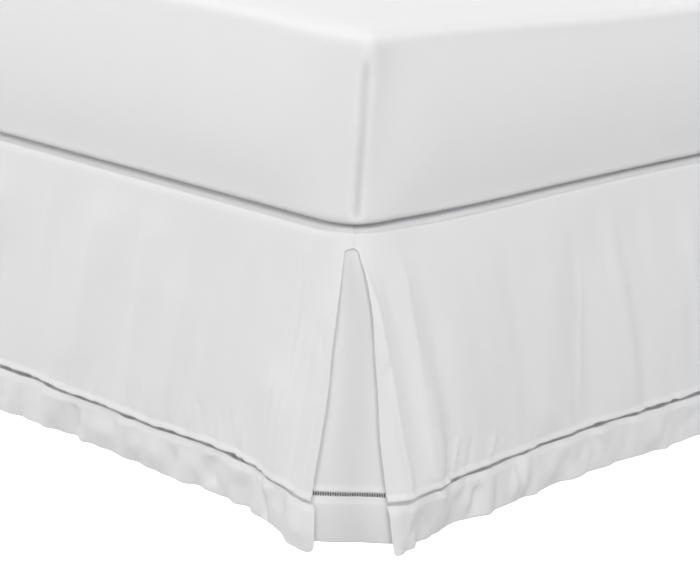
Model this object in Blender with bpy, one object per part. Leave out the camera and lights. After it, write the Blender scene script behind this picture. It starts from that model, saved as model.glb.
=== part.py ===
"""Bed skirt with split corners, hung on a plain queen bed.

Metres, +Z up. The bed stands on z = 0 with its foot towards -Y and its head towards +Y, and the
origin lies on the floor under the middle of the whole object.

The skirt is sewn from six pieces: a flat deck that the mattress pins to the base, one drop panel
across the foot, one down each side, and an inset behind the split at each foot corner. Every panel is
worked out in a frame of its own at a foot corner of the bed: "along" runs from the corner along the
face that the cloth hangs on, "out" stands straight out from that face, and "fall" goes from 0 under
the rolled seam to 1 at the hem.
"""

import math
from collections import namedtuple

import bmesh
import bpy
from mathutils import Matrix

# The bed
BED_WIDTH = 1.524
BED_LENGTH = 2.032
FOOT_FACE_Y = -0.9887
HEAD_FACE_Y = FOOT_FACE_Y + BED_LENGTH
CORNER_RADIUS = 0.060
CORNER_STEPS = 8
EDGE_STEPS = 4
SHARP_ANGLE = math.radians(40)

LEG_HEIGHT = 0.150
LEG_RADIUS = 0.025
LEG_SIDES = 24
LEG_INSET = 0.150

BASE_TOP_Z = 0.3855
BASE_TOP_EDGE = 0.016
BASE_BOTTOM_EDGE = 0.006
MATTRESS_HEIGHT = 0.2225
MATTRESS_TOP_EDGE = 0.035
MATTRESS_BOTTOM_EDGE = 0.018

# The cloth
CLOTH = 0.0012
GAP = 0.0003
DECK_INSET = 0.014
DECK_Z = BASE_TOP_Z + GAP + CLOTH / 2
MATTRESS_Z = DECK_Z + CLOTH / 2 + GAP
HEM_Z = 0.002
STITCH_Z = 0.062

# The seam rolls over the top edge of the base, round an axis that runs inside its face
ROLL_RADIUS = 0.016
DROP_OUT = 0.005
INSET_ROLL_RADIUS = 0.0138
ROLL_AXIS_OUT = DROP_OUT - ROLL_RADIUS
ROLL_AXIS_Z = DECK_Z - ROLL_RADIUS
INSET_OUT = ROLL_AXIS_OUT + INSET_ROLL_RADIUS
SEAM_INNER_OUT = 2 * GAP - DECK_INSET
DROP_ROLL_ANGLES = (90, 60, 30)
INSET_ROLL_ANGLES = (60, 30)
FALL_HEIGHT = ROLL_AXIS_Z - HEM_Z
STITCH_FALL = (ROLL_AXIS_Z - STITCH_Z) / FALL_HEIGHT

# A panel's split edge starts half way round the rounded corner and leaves the curve as it falls
HALF_TURN = math.pi / 4
HALF_CORNER = (CORNER_RADIUS + DROP_OUT) * HALF_TURN
SPLIT_AT = CORNER_RADIUS - HALF_CORNER
SPLIT_GAP = 0.0002
LEAVES_CORNER_BY = 0.26
SIDE_DROP_END = BED_LENGTH - CORNER_RADIUS

# Spacing of the cloth's columns: fine round the corner, coarser along the straight runs
CORNER_COLUMNS = 6
NEAR_COLUMN = 0.022
NEAR_REACH = 0.170
FAR_COLUMN = 0.037
DROP_FALLS = (0.0, 0.09, 0.21, 0.38, 0.60, STITCH_FALL, 1.0)

# How a drop panel hangs. A row for each station: how far out the cloth stands at the hemstitching and
# at the hem, and how far the hem is lifted.
Hang = namedtuple("Hang", "along stitch_out hem_out hem_lift")

FOOT_HANG = (
    Hang(0.009, 0.040, 0.051, 0.000),
    Hang(0.030, 0.043, 0.054, 0.000),
    Hang(0.060, 0.034, 0.045, 0.000),
    Hang(0.080, 0.026, 0.031, 0.000),
    Hang(0.095, 0.021, 0.031, 0.000),
    Hang(0.110, 0.017, 0.015, 0.000),
    Hang(0.125, 0.014, 0.020, 0.000),
    Hang(0.145, 0.010, 0.016, 0.000),
    Hang(0.170, 0.007, 0.009, 0.000),
    Hang(0.200, 0.006, 0.004, 0.000),
    Hang(0.250, 0.006, 0.007, 0.000),
    Hang(0.300, 0.007, 0.016, 0.000),
    Hang(0.370, 0.013, 0.013, 0.000),
    Hang(0.450, 0.013, 0.015, 0.000),
    Hang(0.530, 0.017, 0.016, 0.000),
    Hang(0.600, 0.011, 0.024, 0.000),
    Hang(0.670, 0.014, 0.031, 0.000),
    Hang(0.780, 0.012, 0.019, 0.001),
    Hang(0.900, 0.015, 0.016, 0.000),
    Hang(1.020, 0.009, 0.012, 0.000),
    Hang(1.150, 0.013, 0.017, 0.002),
    Hang(1.280, 0.008, 0.009, 0.000),
    Hang(1.390, 0.013, 0.015, 0.000),
    Hang(1.455, 0.030, 0.036, 0.001),
    Hang(1.515, 0.041, 0.051, 0.000),
)

SIDE_HANG = (
    Hang(0.009, 0.044, 0.057, 0.000),
    Hang(0.035, 0.060, 0.052, 0.000),
    Hang(0.065, 0.058, 0.049, 0.000),
    Hang(0.105, 0.051, 0.036, 0.000),
    Hang(0.150, 0.046, 0.034, 0.000),
    Hang(0.200, 0.041, 0.037, 0.000),
    Hang(0.270, 0.035, 0.032, 0.000),
    Hang(0.350, 0.031, 0.028, 0.000),
    Hang(0.450, 0.029, 0.027, 0.001),
    Hang(0.530, 0.031, 0.032, 0.000),
    Hang(0.620, 0.036, 0.031, 0.000),
    Hang(0.680, 0.038, 0.039, 0.001),
    Hang(0.800, 0.034, 0.033, 0.000),
    Hang(0.940, 0.029, 0.031, 0.000),
    Hang(1.080, 0.034, 0.035, 0.002),
    Hang(1.240, 0.028, 0.027, 0.000),
    Hang(1.420, 0.032, 0.033, 0.000),
    Hang(1.600, 0.027, 0.028, 0.001),
    Hang(1.780, 0.030, 0.031, 0.000),
    Hang(1.972, 0.024, 0.023, 0.000),
)

# The main folds, a row for each: where it starts under the seam and where it would meet the hem, half
# its width, how far it stands out (a trough where negative), and the falls between which it shows.
Fold = namedtuple("Fold", "at_seam at_hem half_width depth starts ends")

FOOT_FOLDS = (
    Fold(0.072, 0.074, 0.020, -0.004, 0.14, 0.60),
    Fold(0.112, 0.104, 0.034, 0.008, 0.40, 0.95),
    Fold(0.298, 0.306, 0.030, 0.004, 0.22, 0.90),
    Fold(0.350, 0.344, 0.030, 0.003, 0.03, 0.45),
    Fold(0.425, 0.560, 0.040, 0.005, 0.03, 0.80),
    Fold(0.660, 0.652, 0.034, 0.004, 0.02, 0.40),
    Fold(0.820, 0.860, 0.045, 0.005, 0.05, 0.85),
    Fold(0.990, 0.960, 0.040, -0.004, 0.10, 0.80),
    Fold(1.160, 1.190, 0.045, 0.005, 0.05, 0.90),
    Fold(1.420, 1.428, 0.034, 0.007, 0.40, 0.95),
)

SIDE_FOLDS = (
    Fold(0.066, 0.112, 0.024, 0.006, 0.02, 0.90),
    Fold(0.104, 0.150, 0.024, -0.004, 0.15, 0.90),
    Fold(0.328, 0.326, 0.030, 0.004, 0.15, 0.85),
    Fold(0.420, 0.500, 0.036, 0.005, 0.20, 0.90),
    Fold(0.608, 0.598, 0.034, 0.004, 0.15, 0.60),
    Fold(0.790, 0.820, 0.045, 0.005, 0.05, 0.85),
    Fold(0.980, 0.960, 0.040, -0.004, 0.10, 0.85),
    Fold(1.170, 1.210, 0.045, 0.006, 0.05, 0.90),
    Fold(1.450, 1.420, 0.045, 0.005, 0.10, 0.85),
    Fold(1.720, 1.760, 0.045, 0.005, 0.05, 0.90),
)
FOLD_FADE = 0.14

# A split edge wanders along the face as it falls. A row for each fall: how far it has moved away from
# the corner on the foot panel and on the side panels.
Slip = namedtuple("Slip", "fall foot side")

SLIPS = (
    Slip(0.000, 0.0000, 0.0000),
    Slip(0.030, 0.0080, 0.0088),
    Slip(0.093, 0.0061, 0.0140),
    Slip(0.180, -0.0008, 0.0140),
    Slip(0.325, 0.0016, 0.0102),
    Slip(0.480, 0.0018, 0.0095),
    Slip(0.632, 0.0024, 0.0091),
    Slip(0.800, 0.0052, 0.0146),
    Slip(0.885, 0.0000, 0.0142),
    Slip(1.000, -0.0055, 0.0150),
)
SLIP_REACH = 0.070

# How strongly a panel bows out below the seam before it hangs straight. At a split edge it flares
# straight out instead.
FOOT_BOW = 1.8
SIDE_BOW = 2.0
FLARES_TO = 0.070
BOWS_FROM = 0.125

# Each end of a drop panel, measured from the corner at that end: its hang, its folds, its bow and the
# column of its slip
SIDE = (SIDE_HANG, SIDE_FOLDS, SIDE_BOW, "side")
FOOT_RIGHT = (FOOT_HANG, FOOT_FOLDS, FOOT_BOW, "foot")
FOOT_LEFT = (
    tuple(row._replace(along=BED_WIDTH - row.along) for row in reversed(FOOT_HANG)),
    tuple(
        fold._replace(at_seam=BED_WIDTH - fold.at_seam, at_hem=BED_WIDTH - fold.at_hem)
        for fold in FOOT_FOLDS
    ),
    FOOT_BOW,
    "foot",
)

# An inset follows the corner's curve at the seam. Towards the hem its middle swings out and it opens to
# a flat piece straight across the corner, until each wing meets the back of its drop panel.
INSET_REACH = 0.140
INSET_STEPS = 12
INSET_MIDDLE_SEAM = CORNER_RADIUS - (CORNER_RADIUS + INSET_OUT) * math.cos(HALF_TURN)
INSET_OPENS_BY = 0.55

# How far in the inset's middle stands from the corner at each fall
Middle = namedtuple("Middle", "fall inset")
INSET_MIDDLES = (
    Middle(0.00, INSET_MIDDLE_SEAM),
    Middle(0.44, 0.0120),
    Middle(STITCH_FALL, 0.0087),
    Middle(1.00, 0.0105),
)
BEHIND_DROP = 0.0055
BEHIND_BY = 0.35
WING_BEND = 0.003
SHARPEST_BEND = 0.000001
TRACE_STEP = 0.001

COTTON = (0.86, 0.86, 0.87)
MATTRESS_COTTON = (0.88, 0.88, 0.88)
BASE_GREY = (0.55, 0.55, 0.56)
LEG_OAK = (0.32, 0.22, 0.14)


def clear_scene():
    for thing in list(bpy.data.objects):
        bpy.data.objects.remove(thing, do_unlink=True)


def finish(name, colour, roughness):
    material = bpy.data.materials.new(name)
    material.use_nodes = True
    shader = material.node_tree.nodes["Principled BSDF"]
    shader.inputs["Base Color"].default_value = (*colour, 1.0)
    shader.inputs["Roughness"].default_value = roughness
    shader.inputs["Metallic"].default_value = 0.0
    return material


def add_object(name, mesh, material, location, turn=0.0):
    mesh.materials.append(material)
    thing = bpy.data.objects.new(name, mesh)
    bpy.context.scene.collection.objects.link(thing)
    thing.location = location
    thing.rotation_euler = (0.0, 0.0, turn)
    return thing


def smoothstep(value):
    value = min(max(value, 0.0), 1.0)
    return value * value * (3.0 - 2.0 * value)


def blend(start, end, share):
    return start + (end - start) * share


def curve_through(rows, at, column):
    """A smooth curve through one column of a table whose first column is the place along."""
    places = [row[0] for row in rows]
    values = [getattr(row, column) for row in rows]
    if at <= places[0]:
        return values[0]
    if at >= places[-1]:
        return values[-1]
    here = max(index for index, place in enumerate(places) if place <= at)

    def slope(index):
        before = max(index - 1, 0)
        after = min(index + 1, len(rows) - 1)
        return (values[after] - values[before]) / (places[after] - places[before])

    span = places[here + 1] - places[here]
    share = (at - places[here]) / span
    square = share * share
    cube = square * share
    return (
        (2 * cube - 3 * square + 1) * values[here]
        + (cube - 2 * square + share) * span * slope(here)
        + (3 * square - 2 * cube) * values[here + 1]
        + (cube - square) * span * slope(here + 1)
    )


def fold_depth(folds, along, fall):
    """How far the folds push the cloth out at one place."""
    depth = 0.0
    for fold in folds:
        crest = blend(fold.at_seam, fold.at_hem, fall)
        across = (along - crest) / fold.half_width
        rising = smoothstep((fall - fold.starts) / FOLD_FADE)
        fading = smoothstep((fold.ends - fall) / FOLD_FADE)
        depth += fold.depth * math.exp(-across * across) * rising * fading
    return depth


def hang_out(hang, along, fall, bow):
    """How far the flared panel stands out of the seam's line at one place."""
    stitch_out = curve_through(hang, along, "stitch_out") - DROP_OUT
    hem_out = curve_through(hang, along, "hem_out") - DROP_OUT
    bow = blend(1.0, bow, smoothstep((along - FLARES_TO) / (BOWS_FROM - FLARES_TO)))
    if fall < STITCH_FALL:
        return stitch_out * (1.0 - (1.0 - fall / STITCH_FALL) ** bow)
    return blend(stitch_out, hem_out, (fall - STITCH_FALL) / (1.0 - STITCH_FALL))


def round_corner(along, out, opened):
    """A place on a line that follows the rounded corner, or lies straight once it has opened."""
    if along >= CORNER_RADIUS or opened >= 1.0:
        return along, out
    angle = (CORNER_RADIUS - along) / (CORNER_RADIUS + DROP_OUT) * (1.0 - opened)
    radius = (CORNER_RADIUS + out) / (1.0 - opened)
    return CORNER_RADIUS - radius * math.sin(angle), out - radius * (1.0 - math.cos(angle))


def panel_point(along, row, hang, folds, bow, slip):
    """One point of a drop panel near its split edge; a row is a roll angle or a fall."""
    kind, value = row
    if kind == "inner":
        place, out = round_corner(along, SEAM_INNER_OUT, 0.0)
        return place, out, DECK_Z
    if kind == "roll":
        angle = math.radians(value)
        place, out = round_corner(along, ROLL_AXIS_OUT + ROLL_RADIUS * math.cos(angle), 0.0)
        return place, out, ROLL_AXIS_Z + ROLL_RADIUS * math.sin(angle)
    place, out = round_corner(along, DROP_OUT, smoothstep(value / LEAVES_CORNER_BY))
    out += hang_out(hang, along, value, bow) + fold_depth(folds, along, value)
    place += curve_through(SLIPS, value, slip) * (1.0 - smoothstep((along - SPLIT_AT) / SLIP_REACH))
    lift = curve_through(hang, along, "hem_lift") * smoothstep(value)
    return place, out, ROLL_AXIS_Z - FALL_HEIGHT * value + lift


def drop_rows():
    rows = [("inner", 0.0)]
    rows += [("roll", angle) for angle in DROP_ROLL_ANGLES]
    rows += [("fall", fall) for fall in DROP_FALLS]
    return rows


def spaced(start, end, step):
    count = max(1, round((end - start) / step))
    return [blend(start, end, index / count) for index in range(count + 1)]


def near_stations():
    """Columns from a split edge round the corner and a little way along the face."""
    edge = SPLIT_AT + SPLIT_GAP
    corner = spaced(edge, CORNER_RADIUS, HALF_CORNER / CORNER_COLUMNS)
    return corner + spaced(CORNER_RADIUS, NEAR_REACH, NEAR_COLUMN)[1:]


def side_panel_grid():
    """The side panel: a split edge at the foot corner and a plain end at the head."""
    stations = near_stations() + spaced(NEAR_REACH, SIDE_DROP_END, FAR_COLUMN)[1:]
    return [
        [panel_point(along, row, *SIDE) for row in drop_rows()]
        for along in stations
    ]


def foot_panel_grid():
    """The foot panel: a split edge at each end, the second one mirrored from the far corner."""
    near = near_stations()
    middle = spaced(NEAR_REACH, BED_WIDTH - NEAR_REACH, FAR_COLUMN)[1:-1]
    far = [BED_WIDTH - along for along in reversed(near)]
    grid = []
    for along in near + middle + far:
        column = []
        for row in drop_rows():
            if along <= BED_WIDTH / 2:
                column.append(panel_point(along, row, *FOOT_RIGHT))
            else:
                place, out, height = panel_point(BED_WIDTH - along, row, *FOOT_LEFT)
                column.append((BED_WIDTH - place, out, height))
        grid.append(column)
    return grid


def behind_drop(drop_line, place, clearance):
    """How far out an inset may stand at one place, so that it stays behind its drop panel. Before the
    panel's split edge it stays behind the line on which the panel would go on."""
    (edge, edge_out), (second, second_out) = drop_line[:2]
    if place < edge:
        return edge_out - (edge - place) * (second_out - edge_out) / (second - edge) - clearance
    for (near, near_out), (far, far_out) in zip(drop_line, drop_line[1:]):
        if near <= place <= far:
            limit = blend(near_out, far_out, (place - near) / (far - near)) - clearance
            return max(limit, INSET_OUT) if place > CORNER_RADIUS else limit
    return math.inf


def soft_minimum(first, second, radius):
    """The lower of two values, rounded off below where they cross."""
    return min(first, second) - radius * math.log1p(math.exp(-abs(first - second) / radius))


def wing_out(place, middle, opened, drop_line, clearance):
    """How far out one wing of an inset stands at one place along its face."""
    swing = INSET_MIDDLE_SEAM - middle
    short = max(CORNER_RADIUS - swing - place, 0.0)
    curved = math.sqrt((CORNER_RADIUS + INSET_OUT) ** 2 - short ** 2) - CORNER_RADIUS + swing
    free = blend(curved, place - 2 * middle, opened)
    limit = behind_drop(drop_line, place, clearance)
    return soft_minimum(free, limit, max(WING_BEND * opened, SHARPEST_BEND))


def inset_wing(end, row):
    """The plan of one wing of an inset at one height, in equal steps over the cloth."""
    kind, value = row
    fall = value if kind == "fall" else 0.0
    height = ROLL_AXIS_Z - FALL_HEIGHT * fall
    inwards = 0.0
    if kind == "roll":
        angle = math.radians(value)
        inwards = INSET_ROLL_RADIUS * (1.0 - math.cos(angle))
        height = ROLL_AXIS_Z + INSET_ROLL_RADIUS * math.sin(angle)
    drop_line = [
        panel_point(along, ("fall", fall), *end)[:2] for along in near_stations()
    ]
    middle = curve_through(INSET_MIDDLES, fall, "inset")
    opened = smoothstep(fall / INSET_OPENS_BY)
    clearance = blend(DROP_OUT - INSET_OUT, BEHIND_DROP, smoothstep(fall / BEHIND_BY))
    place = middle
    out = -middle
    walked = 0.0
    points = [(place, out, height)]
    while len(points) <= INSET_STEPS:
        next_place = place + TRACE_STEP
        next_out = wing_out(next_place, middle, opened, drop_line, clearance)
        pace = math.hypot(TRACE_STEP, next_out - out)
        target = INSET_REACH * len(points) / INSET_STEPS
        if walked + pace >= target:
            share = (target - walked) / pace
            points.append((blend(place, next_place, share), blend(out, next_out, share), height))
        walked += pace
        place, out = next_place, next_out
    if inwards > 0.0:
        points = [move_inwards(point, inwards) for point in points]
    return points


def move_inwards(point, distance):
    """Move a point of the seam's line towards the bed: square to the face, or to the corner's curve."""
    place, out, height = point
    short = max(CORNER_RADIUS - place, 0.0)
    share = 1.0 - distance / math.hypot(short, out + CORNER_RADIUS)
    if short > 0.0:
        return CORNER_RADIUS - short * share, (out + CORNER_RADIUS) * share - CORNER_RADIUS, height
    return place, out - distance, height


def inset_grid(first_drop, second_drop):
    """Both wings of an inset. The second wing lies along the corner's other face."""
    rows = [("roll", angle) for angle in INSET_ROLL_ANGLES]
    rows += [("fall", fall) for fall in DROP_FALLS]
    lines = []
    for row in rows:
        first = inset_wing(first_drop, row)
        second = inset_wing(second_drop, row)
        turned = [(-out, -along, height) for along, out, height in second]
        lines.append(list(reversed(turned[1:])) + first)
    return [list(column) for column in zip(*lines)]


def cloth_panel(name, grid, material, location, turn, hand=1):
    """A sheet through a grid of columns, given the thickness of the cloth."""
    mesh = bpy.data.meshes.new(name)
    builder = bmesh.new()
    columns = [
        [builder.verts.new((hand * along, out, height)) for along, out, height in column]
        for column in grid
    ]
    for left, right in zip(columns, columns[1:]):
        for row in range(len(left) - 1):
            builder.faces.new((left[row], left[row + 1], right[row + 1], right[row]))
    bmesh.ops.recalc_face_normals(builder, faces=builder.faces)
    builder.to_mesh(mesh)
    builder.free()
    mesh.shade_smooth()
    panel = add_object(name, mesh, material, location, turn)
    thick = panel.modifiers.new("cloth", "SOLIDIFY")
    thick.thickness = CLOTH
    thick.offset = 0.0
    return panel


def rim_edges(builder, height):
    """The edges round the flat face at one height."""
    flat = [
        face for face in builder.faces
        if all(abs(vert.co.z - height) < GAP for vert in face.verts)
    ]
    return list(flat[0].edges)


def rounded_slab(name, size, corner_radius, top_edge, bottom_edge, material, location):
    """A box with rounded corners in plan and a rounded rim at its top and bottom."""
    width, length, height = size
    builder = bmesh.new()
    bmesh.ops.create_cube(builder, size=1.0, matrix=Matrix.Diagonal((width, length, height, 1.0)))
    uprights = [
        edge for edge in builder.edges
        if abs(edge.verts[0].co.z - edge.verts[1].co.z) > height / 2
    ]
    bmesh.ops.bevel(
        builder, geom=uprights, offset=corner_radius, segments=CORNER_STEPS, profile=0.5, affect="EDGES"
    )
    for rim_height, edge_radius in ((height / 2, top_edge), (-height / 2, bottom_edge)):
        if edge_radius > 0.0:
            bmesh.ops.bevel(
                builder, geom=rim_edges(builder, rim_height), offset=edge_radius,
                segments=EDGE_STEPS, profile=0.5, affect="EDGES"
            )
    mesh = bpy.data.meshes.new(name)
    builder.to_mesh(mesh)
    builder.free()
    mesh.shade_smooth()
    mesh.set_sharp_from_angle(angle=SHARP_ANGLE)
    return add_object(name, mesh, material, location)


def build_mattress():
    cotton = finish("sheet_cotton", MATTRESS_COTTON, 0.85)
    middle = (0.0, FOOT_FACE_Y + BED_LENGTH / 2, MATTRESS_Z + MATTRESS_HEIGHT / 2)
    size = (BED_WIDTH, BED_LENGTH, MATTRESS_HEIGHT)
    rounded_slab(
        "mattress", size, CORNER_RADIUS, MATTRESS_TOP_EDGE, MATTRESS_BOTTOM_EDGE, cotton, middle
    )


def build_base():
    cover = finish("base_cover", BASE_GREY, 0.9)
    height = BASE_TOP_Z - LEG_HEIGHT
    middle = (0.0, FOOT_FACE_Y + BED_LENGTH / 2, LEG_HEIGHT + height / 2)
    size = (BED_WIDTH, BED_LENGTH, height)
    rounded_slab("bed_base", size, CORNER_RADIUS, BASE_TOP_EDGE, BASE_BOTTOM_EDGE, cover, middle)


def build_deck():
    cotton = finish("deck_cotton", COTTON, 0.9)
    middle = (0.0, FOOT_FACE_Y + BED_LENGTH / 2, DECK_Z)
    size = (BED_WIDTH - 2 * DECK_INSET, BED_LENGTH - 2 * DECK_INSET, CLOTH)
    rounded_slab("skirt_deck", size, CORNER_RADIUS - DECK_INSET, 0.0, 0.0, cotton, middle)


def build_legs():
    oak = finish("leg_oak", LEG_OAK, 0.5)
    height = LEG_HEIGHT - GAP
    across = BED_WIDTH / 2 - LEG_INSET
    rows = (
        ("foot", FOOT_FACE_Y + LEG_INSET),
        ("middle", FOOT_FACE_Y + BED_LENGTH / 2),
        ("head", HEAD_FACE_Y - LEG_INSET),
    )
    for row_name, row_y in rows:
        for side_name, side_x in (("left", -across), ("right", across)):
            name = f"leg_{row_name}_{side_name}"
            mesh = bpy.data.meshes.new(name)
            builder = bmesh.new()
            bmesh.ops.create_cone(
                builder, cap_ends=True, segments=LEG_SIDES,
                radius1=LEG_RADIUS, radius2=LEG_RADIUS, depth=height
            )
            builder.to_mesh(mesh)
            builder.free()
            mesh.shade_smooth()
            mesh.set_sharp_from_angle(angle=SHARP_ANGLE)
            add_object(name, mesh, oak, (side_x, row_y, height / 2))


def build_drops():
    right_corner = (BED_WIDTH / 2, FOOT_FACE_Y, 0.0)
    left_corner = (-BED_WIDTH / 2, FOOT_FACE_Y, 0.0)
    quarter = math.pi / 2
    cotton = finish("drop_cotton", COTTON, 0.8)
    side = side_panel_grid()
    cloth_panel("drop_foot", foot_panel_grid(), cotton, right_corner, math.pi)
    cloth_panel("drop_side_right", side, cotton, right_corner, -quarter, hand=-1)
    cloth_panel("drop_side_left", side, cotton, left_corner, quarter)


def build_insets():
    right_corner = (BED_WIDTH / 2, FOOT_FACE_Y, 0.0)
    left_corner = (-BED_WIDTH / 2, FOOT_FACE_Y, 0.0)
    cotton = finish("inset_cotton", COTTON, 0.8)
    right = inset_grid(FOOT_RIGHT, SIDE)
    left = inset_grid(SIDE, FOOT_LEFT)
    cloth_panel("corner_inset_right", right, cotton, right_corner, math.pi)
    cloth_panel("corner_inset_left", left, cotton, left_corner, math.pi / 2)


def main():
    clear_scene()
    build_legs()
    build_base()
    build_deck()
    build_drops()
    build_insets()
    build_mattress()


main()
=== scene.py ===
"""A white bed skirt with split corners, hung on a plain queen bed: the looks.

Metres, +Z up. The foot of the bed points towards -Y. Every panel of the skirt is worked out in a frame
of its own at a foot corner of the bed: "along" runs from the corner along the face that the cloth hangs
on, "out" stands straight out from that face, and "fall" goes from 0 under the rolled seam to 1 at the
hem. A height is always a height over the floor.
"""

import math
from collections import namedtuple
from functools import lru_cache

import bmesh
import bpy
import numpy as np
from mathutils import Matrix, Vector


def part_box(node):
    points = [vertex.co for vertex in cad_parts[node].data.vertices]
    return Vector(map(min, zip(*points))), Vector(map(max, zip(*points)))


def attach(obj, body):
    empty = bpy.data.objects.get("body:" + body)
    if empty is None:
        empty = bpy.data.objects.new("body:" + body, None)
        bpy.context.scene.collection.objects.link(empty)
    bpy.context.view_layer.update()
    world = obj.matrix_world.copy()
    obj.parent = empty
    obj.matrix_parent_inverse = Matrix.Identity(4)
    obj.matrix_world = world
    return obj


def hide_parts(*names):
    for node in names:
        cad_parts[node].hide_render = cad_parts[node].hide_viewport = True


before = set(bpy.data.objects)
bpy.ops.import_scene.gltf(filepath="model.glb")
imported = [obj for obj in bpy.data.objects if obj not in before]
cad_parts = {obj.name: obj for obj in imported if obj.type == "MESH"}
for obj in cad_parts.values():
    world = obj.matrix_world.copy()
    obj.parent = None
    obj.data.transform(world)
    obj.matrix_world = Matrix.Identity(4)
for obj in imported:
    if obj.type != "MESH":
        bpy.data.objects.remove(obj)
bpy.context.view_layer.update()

# The bed, as the frame holds it
base_low, base_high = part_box("bed_base")
mattress_low, mattress_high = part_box("mattress")
deck_low, deck_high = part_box("skirt_deck")
BED_WIDTH = base_high[0] - base_low[0]
BED_LENGTH = base_high[1] - base_low[1]
FOOT_FACE_Y = base_low[1]
SIDE_FACE_X = base_high[0]
CORNER_RADIUS = 0.060

# The cloth. A drop panel is one layer of percale, its hems are three.
ONE_LAYER = 0.00045
HEM_LAYERS = 0.0012
DECK_Z = (deck_low[2] + deck_high[2]) / 2
HEM_Z = 0.0006
STITCH_Z = 0.062
SLIT = 0.0064
SLIT_AT_SPLIT = 0.0042
SLIT_WIDENS_FROM = 0.004
SLIT_NARROWS_OVER = 0.006
SIDE_HEM = 0.025
DROP_OUT = 0.005
INSET_BEHIND = 0.0022
INSET_OUT = DROP_OUT - INSET_BEHIND
INSET_ROLL_WIDTH = 0.0238
INSET_ROLL_HEIGHT = 0.0138
INSET_ROLL_SLOPE = 1.3333
INSET_ROLL_STARTS = 25.0
INSET_ROLL_ROWS = 3
ROLL_AXIS_Z = DECK_Z - 0.016
SEAM_INNER_OUT = -0.046
SEAM_EDGE_OUT = -0.040

# The drop's top from the seam to the fall: how far out, and how far under the deck. The cloth dips into
# the furrow under the mattress, and rolls over a narrow crest before it falls.
Roll = namedtuple("Roll", "out down")
ROLL = (
    Roll(-0.0340, 0.0008),
    Roll(-0.0270, 0.0032),
    Roll(-0.0205, 0.0066),
    Roll(-0.0150, 0.0100),
    Roll(-0.0112, 0.0120),
    Roll(-0.0078, 0.0124),
    Roll(-0.0050, 0.0106),
    Roll(-0.0026, 0.0080),
    Roll(-0.0006, 0.0067),
    Roll(0.0014, 0.0071),
    Roll(0.0032, 0.0092),
    Roll(0.0044, 0.0124),
)
SAGS_FROM = -0.034
SAGS_FULLY = -0.004
FALL_HEIGHT = ROLL_AXIS_Z - HEM_Z
STITCH_FALL = (ROLL_AXIS_Z - STITCH_Z) / FALL_HEIGHT

HALF_TURN = math.pi / 4
HALF_CORNER = (CORNER_RADIUS + DROP_OUT) * HALF_TURN
SPLIT_AT = CORNER_RADIUS - HALF_CORNER
SPLIT_GAP = 0.0003
LEAVES_CORNER_BY = 0.26
SIDE_DROP_END = BED_LENGTH - CORNER_RADIUS

# Spacing of the cloth's columns and rows
EDGE_COLUMN = 0.0016
EDGE_REACH = 0.040
NEAR_COLUMN = 0.0034
NEAR_REACH = 0.400
FAR_COLUMN = 0.0058
SPLIT_ROW = 0.0024
SPLIT_ROWS_TO = 0.036
DROP_ROW = 0.0066
HEM_ROW = 0.0042

# How a drop panel hangs. A row for each station: how far out the cloth stands at the hemstitching and
# at the hem, and how far the hem is lifted off the floor if it is.
Hang = namedtuple("Hang", "along stitch_out hem_out hem_lift", defaults=(0.0,))

FOOT_HANG = (
    Hang(0.009, 0.040, 0.051),
    Hang(0.030, 0.043, 0.054),
    Hang(0.060, 0.034, 0.045),
    Hang(0.080, 0.026, 0.031),
    Hang(0.095, 0.021, 0.031),
    Hang(0.110, 0.017, 0.015),
    Hang(0.125, 0.014, 0.020),
    Hang(0.145, 0.010, 0.016),
    Hang(0.170, 0.007, 0.009),
    Hang(0.200, 0.006, 0.004),
    Hang(0.250, 0.006, 0.007),
    Hang(0.300, 0.007, 0.016),
    Hang(0.370, 0.013, 0.013),
    Hang(0.450, 0.013, 0.015),
    Hang(0.530, 0.017, 0.014),
    Hang(0.600, 0.011, 0.017),
    Hang(0.670, 0.014, 0.022),
    Hang(0.780, 0.012, 0.019, 0.001),
    Hang(0.900, 0.015, 0.016),
    Hang(1.020, 0.009, 0.012),
    Hang(1.150, 0.013, 0.017, 0.002),
    Hang(1.280, 0.008, 0.009),
    Hang(1.390, 0.013, 0.015),
    Hang(1.455, 0.030, 0.036, 0.001),
    Hang(1.515, 0.041, 0.051),
)

SIDE_HANG = (
    Hang(0.009, 0.044, 0.057),
    Hang(0.035, 0.060, 0.052),
    Hang(0.065, 0.058, 0.049),
    Hang(0.105, 0.051, 0.036),
    Hang(0.150, 0.046, 0.034),
    Hang(0.200, 0.041, 0.037),
    Hang(0.270, 0.035, 0.032),
    Hang(0.350, 0.031, 0.028),
    Hang(0.450, 0.029, 0.027, 0.001),
    Hang(0.530, 0.031, 0.032),
    Hang(0.620, 0.036, 0.031),
    Hang(0.680, 0.038, 0.039, 0.001),
    Hang(0.800, 0.034, 0.033),
    Hang(0.940, 0.029, 0.031),
    Hang(1.080, 0.034, 0.035, 0.002),
    Hang(1.240, 0.028, 0.027),
    Hang(1.420, 0.032, 0.033),
    Hang(1.600, 0.027, 0.028, 0.001),
    Hang(1.780, 0.030, 0.031),
    Hang(1.972, 0.024, 0.023),
)

# The main folds, a row for each: where it starts under the seam and where it would meet the hem, half
# its width, how far it stands out (a trough where negative), and the falls between which it shows.
Fold = namedtuple("Fold", "at_seam at_hem half_width depth starts ends")

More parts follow.
